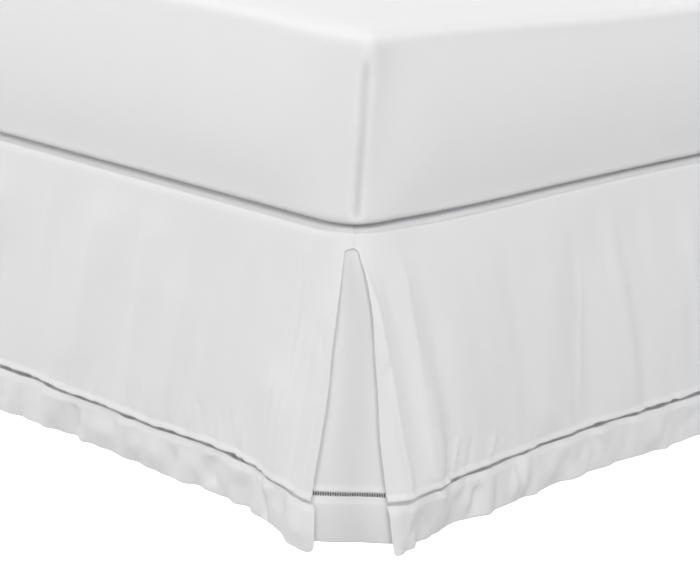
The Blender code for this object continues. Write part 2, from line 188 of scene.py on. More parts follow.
FOOT_FOLDS = (
    Fold(0.072, 0.074, 0.020, -0.004, 0.14, 0.60),
    Fold(0.112, 0.104, 0.034, 0.008, 0.40, 0.95),
    Fold(0.298, 0.306, 0.030, 0.004, 0.22, 0.90),
    Fold(0.350, 0.344, 0.030, 0.003, 0.03, 0.45),
    Fold(0.425, 0.560, 0.040, 0.005, 0.03, 0.80),
    Fold(0.660, 0.652, 0.034, 0.004, 0.02, 0.40),
    Fold(0.820, 0.860, 0.045, 0.005, 0.05, 0.85),
    Fold(0.990, 0.960, 0.040, -0.004, 0.10, 0.80),
    Fold(1.160, 1.190, 0.045, 0.005, 0.05, 0.90),
    Fold(1.420, 1.428, 0.034, 0.007, 0.40, 0.95),
)

SIDE_FOLDS = (
    Fold(0.066, 0.112, 0.024, 0.006, 0.02, 0.90),
    Fold(0.104, 0.150, 0.024, -0.004, 0.15, 0.90),
    Fold(0.328, 0.326, 0.030, 0.004, 0.15, 0.85),
    Fold(0.420, 0.500, 0.036, 0.005, 0.20, 0.90),
    Fold(0.608, 0.598, 0.034, 0.004, 0.15, 0.60),
    Fold(0.790, 0.820, 0.045, 0.005, 0.05, 0.85),
    Fold(0.980, 0.960, 0.040, -0.004, 0.10, 0.85),
    Fold(1.170, 1.210, 0.045, 0.006, 0.05, 0.90),
    Fold(1.450, 1.420, 0.045, 0.005, 0.10, 0.85),
    Fold(1.720, 1.760, 0.045, 0.005, 0.05, 0.90),
)
FOLD_FADE = 0.14

# The creases that lie over the folds, a row for each: where it starts and ends, how high over the
# floor, half its width and how far it stands out, a trough where negative.
Crease = namedtuple("Crease", "from_along from_height to_along to_height half_width depth")
CREASE_DEPTH = 1.5
CREASE_RUNS_PAST = 0.15
CREASE_FADE = 0.35

FOOT_CREASES = (
    Crease(0.017, 0.300, 0.022, 0.080, 0.0060, 0.0014),
    Crease(0.038, 0.330, 0.058, 0.090, 0.0075, -0.0024),
    Crease(0.060, 0.350, 0.090, 0.080, 0.0085, 0.0028),
    Crease(0.088, 0.330, 0.124, 0.100, 0.0080, -0.0020),
    Crease(0.034, 0.262, 0.020, 0.238, 0.0045, -0.0022),
    Crease(0.128, 0.058, 0.121, 0.004, 0.0070, -0.0040),
    Crease(0.110, 0.056, 0.103, 0.004, 0.0060, 0.0030),
    Crease(0.150, 0.052, 0.143, 0.004, 0.0080, 0.0020),
    Crease(0.238, 0.046, 0.234, 0.012, 0.0110, -0.0035),
    Crease(0.505, 0.044, 0.500, 0.010, 0.0120, -0.0035),
    Crease(0.180, 0.115, 0.168, 0.068, 0.0050, 0.0016),
    Crease(0.203, 0.120, 0.190, 0.068, 0.0045, -0.0014),
    Crease(0.225, 0.108, 0.216, 0.068, 0.0050, 0.0014),
    Crease(0.262, 0.125, 0.246, 0.068, 0.0060, -0.0017),
    Crease(0.284, 0.118, 0.270, 0.068, 0.0050, 0.0016),
    Crease(0.322, 0.112, 0.310, 0.068, 0.0060, -0.0015),
    Crease(0.356, 0.122, 0.340, 0.068, 0.0060, 0.0018),
    Crease(0.402, 0.118, 0.388, 0.068, 0.0070, -0.0020),
    Crease(0.446, 0.112, 0.436, 0.068, 0.0060, 0.0014),
    Crease(0.520, 0.120, 0.512, 0.068, 0.0070, 0.0014),
)

SIDE_CREASES = (
    Crease(0.008, 0.352, 0.030, 0.222, 0.0055, 0.0024),
    Crease(0.030, 0.222, 0.050, 0.070, 0.0060, 0.0020),
    Crease(0.034, 0.236, 0.020, 0.214, 0.0045, -0.0022),
    Crease(0.070, 0.350, 0.094, 0.080, 0.0070, 0.0016),
    Crease(0.131, 0.112, 0.115, 0.068, 0.0055, -0.0018),
    Crease(0.150, 0.118, 0.138, 0.068, 0.0050, 0.0016),
    Crease(0.176, 0.110, 0.166, 0.068, 0.0060, -0.0014),
    Crease(0.221, 0.106, 0.205, 0.068, 0.0060, 0.0018),
    Crease(0.315, 0.112, 0.338, 0.086, 0.0060, 0.0022),
    Crease(0.393, 0.289, 0.390, 0.106, 0.0080, 0.0014),
    Crease(0.430, 0.046, 0.424, 0.012, 0.0110, -0.0035),
    Crease(0.190, 0.040, 0.184, 0.006, 0.0110, -0.0030),
    Crease(0.263, 0.050, 0.260, 0.006, 0.0060, 0.0016),
    Crease(0.283, 0.050, 0.280, 0.006, 0.0060, 0.0016),
)

# A split edge wanders along the face as it falls. A row for each fall: how far it has moved away from
# the corner on the foot panel and on the side panels.
Slip = namedtuple("Slip", "fall foot side")

SLIPS = (
    Slip(0.000, 0.0078, 0.0085),
    Slip(0.030, 0.0080, 0.0088),
    Slip(0.093, 0.0061, 0.0118),
    Slip(0.180, 0.0006, 0.0112),
    Slip(0.250, -0.0028, 0.0105),
    Slip(0.325, -0.0018, 0.0100),
    Slip(0.480, -0.0024, 0.0098),
    Slip(0.632, 0.0008, 0.0091),
    Slip(0.800, 0.0052, 0.0140),
    Slip(0.885, 0.0000, 0.0142),
    Slip(1.000, -0.0055, 0.0150),
)
SLIP_REACH = 0.070

# Over the split the foot panel's edge laps over the side panel's, and the two are sewn down
LAP = 0.0042
LAP_REACH = 0.030
LAP_OUT = 0.0008
LAP_ENDS = 0.018
LAP_FADE = 0.012
LAP_HOLDS = 0.85

# How far the seam's roll, and the edge of the mattress over it, sag along a face
Sag = namedtuple("Sag", "along depth")
FOOT_SAGS = (Sag(0.00, 0.0012), Sag(1.50, 0.0012))
SIDE_SAGS = (
    Sag(0.00, 0.0012),
    Sag(0.07, 0.0014),
    Sag(0.12, 0.0032),
    Sag(0.18, 0.0042),
    Sag(0.27, 0.0040),
    Sag(0.34, 0.0024),
    Sag(0.42, 0.0014),
    Sag(0.56, 0.0002),
    Sag(0.80, 0.0008),
    Sag(1.20, 0.0014),
    Sag(1.97, 0.0008),
)

# How strongly a panel bows out below the seam before it hangs straight. At a split edge it flares
# straight out instead.
FOOT_BOW = 1.8
SIDE_BOW = 2.0
FLARES_TO = 0.060
BOWS_FROM = 0.150

# How far along the cloth a bend in the tables is softened
SOFT_BEND = 0.007
SOFT_REACH = 3.0 * SOFT_BEND
SOFT_STEP = 0.001

# The round corner of a panel's hem at its split edge, and how far its three layers hang further in
FOOT_HEM_CORNER = 0.0145
SIDE_HEM_CORNER = 0.0030
FOOT_HEM_IN = 0.0062
SIDE_HEM_IN = -0.0030

# What starts the random draws of each piece
SIDE_SEED = 11
FOOT_SEED = 23
MATTRESS_SEED = 40
RIGHT_INSET_SEED = 51
LEFT_INSET_SEED = 61
DECK_SEED = 71

# The raised tuck over the hemstitching: how far up from the slit, and how far it stands out
Step = namedtuple("Step", "up out")
TUCK = (
    Step(0.0000, 0.0002),
    Step(0.0004, 0.0012),
    Step(0.0011, 0.0021),
    Step(0.0022, 0.0027),
    Step(0.0036, 0.0026),
    Step(0.0050, 0.0018),
    Step(0.0064, 0.0009),
    Step(0.0078, 0.0002),
    Step(0.0094, -0.0003),
    Step(0.0118, 0.0000),
)
TUCK_TOP = TUCK[-1].up
TUCK_AT_SPLIT = 0.75
TUCK_ON_INSET = 0.8

# Under the slit the hem comes out of the recess that the stitching draws in
RECESS = 0.0095
RECESS_DEPTH = 0.0036
RECESS_ROWS = np.array([0.0, 0.0014, 0.0030, 0.0046, 0.0062, 0.0078])
HEM_FOLD_FROM = 0.004
HEM_FOLD_ROWS = np.array([0.0022, 0.0009, 0.0])

# An inset follows the corner's curve at the seam, and opens to a flat piece straight across the corner
INSET_REACH = 0.138
INSET_COLUMN = 0.0032
INSET_MIDDLE_SEAM = CORNER_RADIUS - (CORNER_RADIUS + INSET_OUT) * math.cos(HALF_TURN)
INSET_OPENS_BY = 0.55

# How far in the inset's middle stands from the corner at each fall
Middle = namedtuple("Middle", "fall inset")
INSET_MIDDLES = (
    Middle(0.00, INSET_MIDDLE_SEAM),
    Middle(0.44, 0.0120),
    Middle(STITCH_FALL, 0.0087),
    Middle(1.00, 0.0105),
)
BEHIND_DROP = 0.0055
BEHIND_BY = 0.35

# How deep a drop's finer unevenness may dip towards the inset or the base behind it
ROOM_AT_SEAM = 0.0012
ROOM_OVER_INSET = 0.0040
ROOM_PAST_INSET = 0.0080
WING_BEND = 0.003
SHARPEST_BEND = 0.000001
TRACE_STEP = 0.001
TRACE_STATIONS = 0.006

# Photograph's frame and the camera that sees it
PHOTO_WIDTH = 700
FOCAL_PIXELS = 2122
SENSOR_WIDTH = 36.0
CAMERA_PLACE = Vector((2.4219, -2.6324, 0.9770))
CAMERA_AZIMUTH = math.radians(45.29)
CAMERA_PITCH = math.radians(15.76)
CAMERA_ROLL = math.radians(1.5)


# ---------------------------------------------------------------- shapes worked out in numbers

LINE_KNOTS = 4096
SHEET_KNOTS = (1024, 256)
FIRST_KNOT = 7.0
LEAST_CLOSED = 1e-6
LEAST_LENGTH = 1e-12


def smoothstep(value):
    value = np.clip(value, 0.0, 1.0)
    return value * value * (3.0 - 2.0 * value)


def blend(start, end, share):
    return start + (end - start) * share


def curve_through(rows, at, column):
    """A smooth curve through one column of a table whose first column is the place along."""
    places = np.array([row[0] for row in rows])
    values = np.array([getattr(row, column) for row in rows])
    slopes = np.empty(len(rows))
    slopes[1:-1] = (values[2:] - values[:-2]) / (places[2:] - places[:-2])
    slopes[0] = (values[1] - values[0]) / (places[1] - places[0])
    slopes[-1] = (values[-1] - values[-2]) / (places[-1] - places[-2])
    at = np.clip(at, places[0], places[-1])
    here = np.clip(np.searchsorted(places, at, side="right") - 1, 0, len(rows) - 2)
    span = places[here + 1] - places[here]
    share = (at - places[here]) / span
    square = share * share
    cube = square * share
    return (
        (2 * cube - 3 * square + 1) * values[here]
        + (cube - 2 * square + share) * span * slopes[here]
        + (3 * square - 2 * cube) * values[here + 1]
        + (cube - square) * span * slopes[here + 1]
    )


def smootherstep(value):
    value = np.clip(value, 0.0, 1.0)
    return value ** 3 * (10.0 - 15.0 * value + 6.0 * value * value)


@lru_cache(maxsize=None)
def softened(rows, column):
    """One column of a table on a fine grid, its bends softened as cloth softens them."""
    places = np.arange(rows[0][0] - SOFT_REACH, rows[-1][0] + SOFT_REACH, SOFT_STEP)
    spread = np.arange(-SOFT_REACH, SOFT_REACH + SOFT_STEP / 2, SOFT_STEP)
    weights = np.exp(-0.5 * (spread / SOFT_BEND) ** 2)
    values = np.pad(curve_through(rows, places, column), len(spread) // 2, mode="edge")
    return places, np.convolve(values, weights / weights.sum(), mode="valid")[:len(places)]


def soft_curve(rows, at, column):
    return np.interp(at, *softened(rows, column))


def wander(at, spacing, seed):
    """A smooth unevenness between -1 and 1 along a line."""
    dice = np.random.default_rng(seed)
    steps = np.asarray(at) / spacing + FIRST_KNOT
    knots = dice.uniform(-1.0, 1.0, LINE_KNOTS)
    whole = np.floor(steps).astype(int)
    share = smoothstep(steps - whole)
    return blend(knots[whole], knots[whole + 1], share)


def unevenness(along, height, along_size, height_size, seed):
    """A smooth unevenness between -1 and 1 over a sheet."""
    dice = np.random.default_rng(seed)
    columns = np.asarray(along) / along_size + FIRST_KNOT
    rows = np.asarray(height) / height_size + FIRST_KNOT
    knots = dice.uniform(-1.0, 1.0, SHEET_KNOTS)
    column = np.floor(columns).astype(int)
    row = np.floor(rows).astype(int)
    across = smoothstep(columns - column)
    up = smoothstep(rows - row)
    low = blend(knots[column, row], knots[column + 1, row], across)
    high = blend(knots[column, row + 1], knots[column + 1, row + 1], across)
    return blend(low, high, up)


def fold_depth(folds, along, fall):
    """How far the folds push the cloth out."""
    depth = 0.0
    for fold in folds:
        crest = blend(fold.at_seam, fold.at_hem, fall)
        across = (along - crest) / fold.half_width
        rising = smoothstep((fall - fold.starts) / FOLD_FADE)
        fading = smoothstep((fold.ends - fall) / FOLD_FADE)
        depth = depth + fold.depth * np.exp(-across * across) * rising * fading
    return depth


def crease_depth(creases, along, height):
    """How far the creases push the cloth out. Each one runs out softly past both ends."""
    past = CREASE_RUNS_PAST
    depth = 0.0
    for crease in creases:
        share = (crease.from_height - height) / (crease.from_height - crease.to_height)
        crest = blend(crease.from_along, crease.to_along, share)
        across = (along - crest) / crease.half_width
        fading = smoothstep((share + past) / CREASE_FADE) * smoothstep((1.0 + past - share) / CREASE_FADE)
        depth = depth + CREASE_DEPTH * crease.depth * fading / (1.0 + across * across) ** 2
    return depth


def hang_out(end, along, fall):
    """How far the flared panel stands out of the seam's line."""
    stitch_out = soft_curve(end.hang, along, "stitch_out") - DROP_OUT
    hem_out = soft_curve(end.hang, along, "hem_out") - DROP_OUT - end.hem_in
    bow = blend(1.0, end.bow, smootherstep((along - FLARES_TO) / (BOWS_FROM - FLARES_TO)))
    above = stitch_out * (1.0 - (1.0 - np.minimum(fall / STITCH_FALL, 1.0)) ** bow)
    below = blend(stitch_out, hem_out, (fall - STITCH_FALL) / (1.0 - STITCH_FALL))
    return np.where(fall < STITCH_FALL, above, below)


def round_corner(along, out, opened):
    """Places on a line that follows the rounded corner, and lies straight once it has opened."""
    closed = np.maximum(1.0 - opened, LEAST_CLOSED)
    angle = (CORNER_RADIUS - along) / (CORNER_RADIUS + DROP_OUT) * closed
    radius = (CORNER_RADIUS + out) / closed
    straight = (along >= CORNER_RADIUS) | (opened >= 1.0)
    place = np.where(straight, along, CORNER_RADIUS - radius * np.sin(angle))
    return place, np.where(straight, out, out - radius * (1.0 - np.cos(angle)))


# ---------------------------------------------------------------- how a drop panel lies

# One end of a drop panel, measured from the corner at that end: its hang, folds and creases, its bow,
# the column of its slip, its sags, how far it laps over its neighbour, and its hem's round corner and
# inward hang
End = namedtuple("End", "hang folds creases bow slip sags lap hem_corner hem_in seed")


def mirrored(end, width):
    """The same panel measured from its other end, without its creases."""
    hang = tuple(row._replace(along=width - row.along) for row in reversed(end.hang))
    folds = tuple(row._replace(at_seam=width - row.at_seam, at_hem=width - row.at_hem) for row in end.folds)
    return end._replace(hang=hang, folds=folds, creases=())


SIDE = End(
    SIDE_HANG, SIDE_FOLDS, SIDE_CREASES, SIDE_BOW, "side", SIDE_SAGS, 0.0,
    SIDE_HEM_CORNER, SIDE_HEM_IN, SIDE_SEED,
)
FOOT_RIGHT = End(
    FOOT_HANG, FOOT_FOLDS, FOOT_CREASES, FOOT_BOW, "foot", FOOT_SAGS, LAP,
    FOOT_HEM_CORNER, FOOT_HEM_IN, FOOT_SEED,
)
FOOT_LEFT = mirrored(FOOT_RIGHT, BED_WIDTH)


def closed_split(along, fall):
    """How far the split is still sewn down: 1 at the seam and 0 below it, or away from the edge."""
    near_edge = 1.0 - smoothstep((along - SPLIT_AT) / LAP_REACH)
    return (1.0 - smoothstep((fall - LAP_ENDS) / LAP_FADE)) * near_edge


def hanging_points(along, fall, end):
    """Points of a drop panel below its rolled seam, as (place along, out, height)."""
    closed = closed_split(along, fall)
    opened = smoothstep(fall / LEAVES_CORNER_BY)
    near_edge = 1.0 - smoothstep((along - SPLIT_AT) / SLIP_REACH)
    slip = curve_through(SLIPS, fall, end.slip) * (1.0 - closed) * near_edge
    moved = along - end.lap * closed + slip * blend(math.cos(HALF_TURN), 1.0, opened)
    place, out = round_corner(moved, DROP_OUT, opened)
    out = out + (hang_out(end, along, fall) + fold_depth(end.folds, along, fall)) * (1.0 - LAP_HOLDS * closed)
    out = out + LAP_OUT * closed * (end.lap > 0.0)
    lift = curve_through(end.hang, along, "hem_lift") * smoothstep(fall)
    sag = soft_curve(end.sags, along, "depth") * (1.0 - smoothstep(fall / STITCH_FALL))
    return np.stack([place, out, ROLL_AXIS_Z - FALL_HEIGHT * fall + lift - sag], axis=-1)


def rolled_points(along, roll, end):
    """Points of a drop panel in one row of the roll at its top."""
    closed = closed_split(along, 0.0)
    thicker = LAP_OUT * closed * (end.lap > 0.0)
    lapped = along - end.lap * closed
    place, out = round_corner(lapped, roll.out + thicker, np.zeros_like(along))
    sag = soft_curve(end.sags, along, "depth") * smoothstep((roll.out - SAGS_FROM) / (SAGS_FULLY - SAGS_FROM))
    return np.stack([place, out, DECK_Z - roll.down + thicker - sag], axis=-1)


def seam_points(along, out):
    """Points of a drop panel where it lies flat between the mattress and the base."""
    place, out = round_corner(along, out, np.zeros_like(along))
    return np.stack([place, out, np.full_like(along, DECK_Z)], axis=-1)


def spaced(start, end, step):
    return np.linspace(start, end, max(1, round(abs(end - start) / step)) + 1)


def drop_heights():
    """Heights of the rows above and below the slit of the hemstitching."""
    slit_top = STITCH_Z + SLIT / 2
    slit_bottom = STITCH_Z - SLIT / 2
    split_rows = spaced(ROLL_AXIS_Z, ROLL_AXIS_Z - SPLIT_ROWS_TO, SPLIT_ROW)
    upper = np.concatenate([split_rows, spaced(split_rows[-1], slit_top + TUCK_TOP, DROP_ROW)[1:-1]])
    tuck = [slit_top + step.up for step in reversed(TUCK)]
    hem = spaced(slit_bottom - RECESS, HEM_Z + HEM_FOLD_FROM, HEM_ROW)
    lower = [slit_bottom - RECESS_ROWS, hem, HEM_Z + HEM_FOLD_ROWS]
    return np.concatenate([upper, tuck]), np.concatenate(lower)


# The finer unevenness of cloth: how far it stands out, how long it is along the cloth, how tall it is
# (none where it runs on), and what it adds to the seed of its piece
Unevenness = namedtuple("Unevenness", "depth long tall seed")
PUCKERS = Unevenness(0.0028, 0.0095, None, 0)
PUCKER_CLUSTERS = Unevenness(0.4, 0.06, None, 1)
SMALL_PUCKERS = Unevenness(0.0018, 0.013, 0.022, 7)
HEM_RIPPLES = Unevenness(0.0042, 0.019, 0.025, 2)
HEM_SWING = Unevenness(0.0034, 0.040, None, 3)
STREAKS = Unevenness(0.0034, 0.026, 0.38, 4)
SWELLS = Unevenness(0.0014, 0.085, 0.20, 5)
SIDE_HEM_PULL = Unevenness(0.0004, 0.012, None, 6)
INSET_STREAKS = Unevenness(0.0009, 0.034, 0.15, 0)
INSET_HEM_SWING = Unevenness(0.0006, 0.020, None, 1)
INSET_START = 0.5

# How they lean and fade: per metre of height, and over how many metres
PUCKERS_LEAN = 0.26
STREAKS_LEAN = 0.20
SWING_LEANS = 0.1
PUCKERS_CLUSTERED = 0.6
PUCKERS_REACH_UP = 0.020
HEM_STARTS_OVER = 0.006
STILL_UNDER_SEAM = 0.07
STILL_OVER_TUCK = 0.006
STILL_OVER_HEM = 0.05
STILLED = 0.5
SIDE_HEM_RAISED = 0.0006
SIDE_HEM_STEP = 0.0015
SIDE_HEM_PULLED = 0.010
STITCH_LINE_DEPTH = 0.0006
STITCH_LINE_IN = 0.0025
STITCH_LINE_WIDTH = 0.0014


def uneven(kind, seed, along, height=None):
    """One kind of unevenness over a piece of cloth."""
    if kind.tall is None:
        return kind.depth * wander(along, kind.long, seed + kind.seed)
    return kind.depth * unevenness(along, height, kind.long, kind.tall, seed + kind.seed)


def below_seam(height):
    """From 0 at the seam to 1 where the cloth hangs free of it."""
    return smoothstep((ROLL_AXIS_Z - height) / STILL_UNDER_SEAM)


def within_hem(height):
    """From 0 over the hemstitching to 1 in the hem."""
    return smoothstep((STITCH_Z - height) / HEM_STARTS_OVER)


def drawn_in(height):
    """How far the hemstitching draws the top of the hem in."""
    out_of_recess = smoothstep((STITCH_Z - SLIT / 2 - height) / RECESS)
    return RECESS_DEPTH * (1.0 - out_of_recess) * (height < STITCH_Z)


def detail_out(along, height, from_split, end):
    """How far the finer unevenness of a drop panel stands out of its folds."""
    seed = end.seed
    above = height - STITCH_Z
    reach_up = np.exp(-np.maximum(above, 0.0) / PUCKERS_REACH_UP) * (above > 0.0)
    leaning = along + PUCKERS_LEAN * above
    clusters = PUCKERS_CLUSTERED + uneven(PUCKER_CLUSTERS, seed, along)
    puckers = uneven(PUCKERS, seed, leaning) * clusters + uneven(SMALL_PUCKERS, seed, leaning, height)
    rippled = uneven(HEM_RIPPLES, seed, along, height) + uneven(HEM_SWING, seed, along + SWING_LEANS * height)
    streaked = uneven(STREAKS, seed, along + STREAKS_LEAN * height, height)
    streaked = streaked + uneven(SWELLS, seed, along, height)
    near_hem = 1.0 - smoothstep((above - STILL_OVER_TUCK) / STILL_OVER_HEM)
    into_panel = from_split - SIDE_HEM
    side_hem = SIDE_HEM_RAISED * (1.0 - smoothstep(into_panel / SIDE_HEM_STEP))
    stitch_line = STITCH_LINE_DEPTH * np.exp(-((into_panel + STITCH_LINE_IN) / STITCH_LINE_WIDTH) ** 2)
    pull = uneven(SIDE_HEM_PULL, seed, height) * np.exp(-(into_panel / SIDE_HEM_PULLED) ** 2)
    out = puckers * reach_up + rippled * within_hem(height) - drawn_in(height) - stitch_line
    out = out + (streaked * (1.0 - STILLED * near_hem) + side_hem + pull) * below_seam(height)
    return out + crease_depth(end.creases, along, height)


def surface_normals(points):
    """Which way a grid of points faces. Its first axis runs along and its second runs down."""
    along = np.gradient(points, axis=0)
    down = np.gradient(points, axis=1)
    facing = np.cross(along, down)
    return facing / np.maximum(np.linalg.norm(facing, axis=-1, keepdims=True), LEAST_LENGTH)


def walked(points, axis):
    """The length of the cloth walked from the first row or column."""
    steps = np.linalg.norm(np.diff(points, axis=axis), axis=-1)
    start = np.zeros_like(np.take(steps, [0], axis=axis))
    return np.concatenate([start, np.cumsum(steps, axis=axis)], axis=axis)


Panel = namedtuple("Panel", "points weave layers slit_row")
HEM_FOLD_LAYERS = (0.75, 0.35)
ROW_IN_HEM = -20


def facing_way(points, way):
    """Which way a grid of points faces, turned so that the middle of its hem faces the way given."""
    facing = surface_normals(points)
    return facing * np.sign(facing[len(points) // 2, ROW_IN_HEM] @ np.array(way))


def finished_panel(points, facing, detail, along, slit_row, in_side_hem):
    """A panel from the grid of its main shape and how far its details stand out of it. Its layers are
    a share of the hem's three, and thin out at the hem's fold."""
    points = points + facing * detail[..., None]
    weave = np.stack([np.broadcast_to(along[:, None], detail.shape), -walked(points, 1)], axis=-1)
    in_hem = np.arange(detail.shape[1])[None, :] >= slit_row
    layers = np.where(in_hem | in_side_hem, 1.0, ONE_LAYER / HEM_LAYERS)
    layers[:, -2:] = HEM_FOLD_LAYERS
    return Panel(points, weave, layers, slit_row)


def tuck_out():
    return np.array([step.out for step in reversed(TUCK)])


def drop_panel(along, from_split, end):
    """The grid of a drop panel, its hang, folds and creases read from one of its ends."""
    upper, lower = drop_heights()
    seam = [seam_points(along, np.full_like(along, out)) for out in (SEAM_INNER_OUT, SEAM_EDGE_OUT)]
    roll = [rolled_points(along, row, end) for row in ROLL]
    heights = np.concatenate([upper, lower])[None, :]
    split = from_split[:, None]
    narrow = blend(SLIT_AT_SPLIT / SLIT, 1.0, smoothstep((split - SLIT_WIDENS_FROM) / SIDE_HEM))
    near_slit = np.exp(-((heights - STITCH_Z) / SLIT_NARROWS_OVER) ** 2)
    heights = STITCH_Z + (heights - STITCH_Z) * blend(1.0, narrow, near_slit)
    from_corner = np.clip(1.0 - split / end.hem_corner, 0.0, 1.0)
    hem_rise = end.hem_corner * (1.0 - np.sqrt(1.0 - from_corner ** 2)) / (STITCH_Z - HEM_Z)
    heights = heights + np.maximum(STITCH_Z - heights, 0.0) * hem_rise
    fall = (ROLL_AXIS_Z - heights) / FALL_HEIGHT
    wide = np.broadcast_to(along[:, None], fall.shape)
    points = np.concatenate([np.stack(seam + roll, axis=1), hanging_points(wide, fall, end)], axis=1)
    facing = facing_way(points, (0.0, 1.0, 0.0))
    rolled_rows = len(seam) + len(roll)
    slit_row = rolled_rows + len(upper)
    unbounded = detail_out(wide, heights, split, end)
    hangs_free = smoothstep(fall / BEHIND_BY)
    room = blend(ROOM_AT_SEAM, ROOM_OVER_INSET, hangs_free)
    room = room + ROOM_PAST_INSET * smoothstep((split - INSET_REACH) / LAP_REACH) * hangs_free
    detail = np.zeros(points.shape[:2])
    detail[:, rolled_rows:] = np.where(unbounded < 0.0, room * np.tanh(unbounded / room), unbounded)
    detail[:, slit_row - len(TUCK):slit_row] += tuck_out() * blend(TUCK_AT_SPLIT, 1.0, narrow)
    return finished_panel(points, facing, detail, along, slit_row, split < SIDE_HEM)


def columns_from_split(length_end, split_at_end):
    """Columns of a drop panel, close together at a split edge."""
    edge = SPLIT_AT + SPLIT_GAP
    near = np.concatenate([
        spaced(edge, EDGE_REACH, EDGE_COLUMN),
        spaced(EDGE_REACH, NEAR_REACH, NEAR_COLUMN)[1:],
    ])
    if not split_at_end:
        return np.concatenate([near, spaced(NEAR_REACH, length_end, FAR_COLUMN)[1:]])
    middle = spaced(NEAR_REACH, BED_WIDTH - NEAR_REACH, FAR_COLUMN)[1:-1]
    return np.concatenate([near, middle, BED_WIDTH - near[::-1]])


def side_drop_panel():
    along = columns_from_split(SIDE_DROP_END, False)
    return drop_panel(along, along - along[0], SIDE)


def foot_drop_panel():
    """The foot panel: its right half is measured from the right corner, its left from the left."""
    along = columns_from_split(BED_WIDTH, True)
    from_split = np.minimum(along - along[0], along[-1] - along)
    half = len(along) // 2
    right = drop_panel(along, from_split, FOOT_RIGHT)
    left = drop_panel(BED_WIDTH - along, from_split, FOOT_LEFT)
    turned = left.points * [-1.0, 1.0, 1.0] + [BED_WIDTH, 0.0, 0.0]
    points = np.concatenate([right.points[:half], turned[half:]])
    return Panel(points, right.weave, right.layers, right.slit_row)


# ---------------------------------------------------------------- how an inset lies

def behind_drop(drop_line, place, clearance):
    """How far out an inset may stand at one place, so that it stays behind its drop panel. Before the
    panel's split edge it stays behind the line on which the panel would go on."""
    edge, second = drop_line[:2]
    if place < edge[0]:
        return edge[1] - (edge[0] - place) * (second[1] - edge[1]) / (second[0] - edge[0]) - clearance
    limit = np.interp(place, drop_line[:, 0], drop_line[:, 1]) - clearance
    return max(limit, INSET_OUT) if place > CORNER_RADIUS else limit


def soft_minimum(first, second, radius):
    """The lower of two values, rounded off below where they cross."""
    return min(first, second) - radius * math.log1p(math.exp(-abs(first - second) / radius))


def inset_wing(end, fall):
    """The plan of one wing of an inset at one height, in equal steps over the cloth."""
    stations = spaced(SPLIT_AT + SPLIT_GAP, INSET_REACH + CORNER_RADIUS, TRACE_STATIONS)
    drop_line = hanging_points(stations, np.full_like(stations, fall), end)[:, :2]
    drop_line = drop_line[np.argsort(drop_line[:, 0])]
    middle = float(curve_through(INSET_MIDDLES, fall, "inset"))
    opened = float(smoothstep(fall / INSET_OPENS_BY))
    clearance = blend(DROP_OUT - INSET_OUT, BEHIND_DROP, float(smoothstep(fall / BEHIND_BY)))
    bend = max(WING_BEND * opened, SHARPEST_BEND)
    swing = INSET_MIDDLE_SEAM - middle
    place, out = middle, -middle
    line = [(place, out)]
    length = 0.0
    while length < INSET_REACH:
        place += TRACE_STEP
        short = max(CORNER_RADIUS - swing - place, 0.0)
        curved = math.sqrt((CORNER_RADIUS + INSET_OUT) ** 2 - short ** 2) - CORNER_RADIUS + swing
        free = blend(curved, place - 2 * middle, opened)
        out = soft_minimum(free, behind_drop(drop_line, place, clearance), bend)
        length += math.dist(line[-1], (place, out))
        line.append((place, out))
    line = np.array(line)
    length_at = np.concatenate([[0.0], np.cumsum(np.linalg.norm(np.diff(line, axis=0), axis=1))])
    at = spaced(0.0, INSET_REACH, INSET_COLUMN)
    return np.stack([np.interp(at, length_at, line[:, column]) for column in (0, 1)], axis=-1)


def inset_line(first_end, second_end, fall):
    """Both wings of an inset at one height. The second wing lies along the corner's other face."""
    first = inset_wing(first_end, fall)
    second = inset_wing(second_end, fall)
    return np.concatenate([-second[:0:-1, ::-1], first])


def moved_inwards(line, distance):
    """A line at the seam moved towards the bed, square to the face or to the corner's curve."""
    centre = np.array([CORNER_RADIUS, -CORNER_RADIUS])
    nearest = np.where(line[:, :1] > CORNER_RADIUS, line * [1, 0] + centre * [0, 1], centre)
    nearest = np.where(line[:, 1:] < -CORNER_RADIUS, line * [0, 1] + centre * [1, 0], nearest)
    facing = line - nearest
    facing /= np.linalg.norm(facing, axis=1, keepdims=True)
    return line - facing * distance


def level_points(line, height):
    return np.column_stack([line, np.full(len(line), height)])


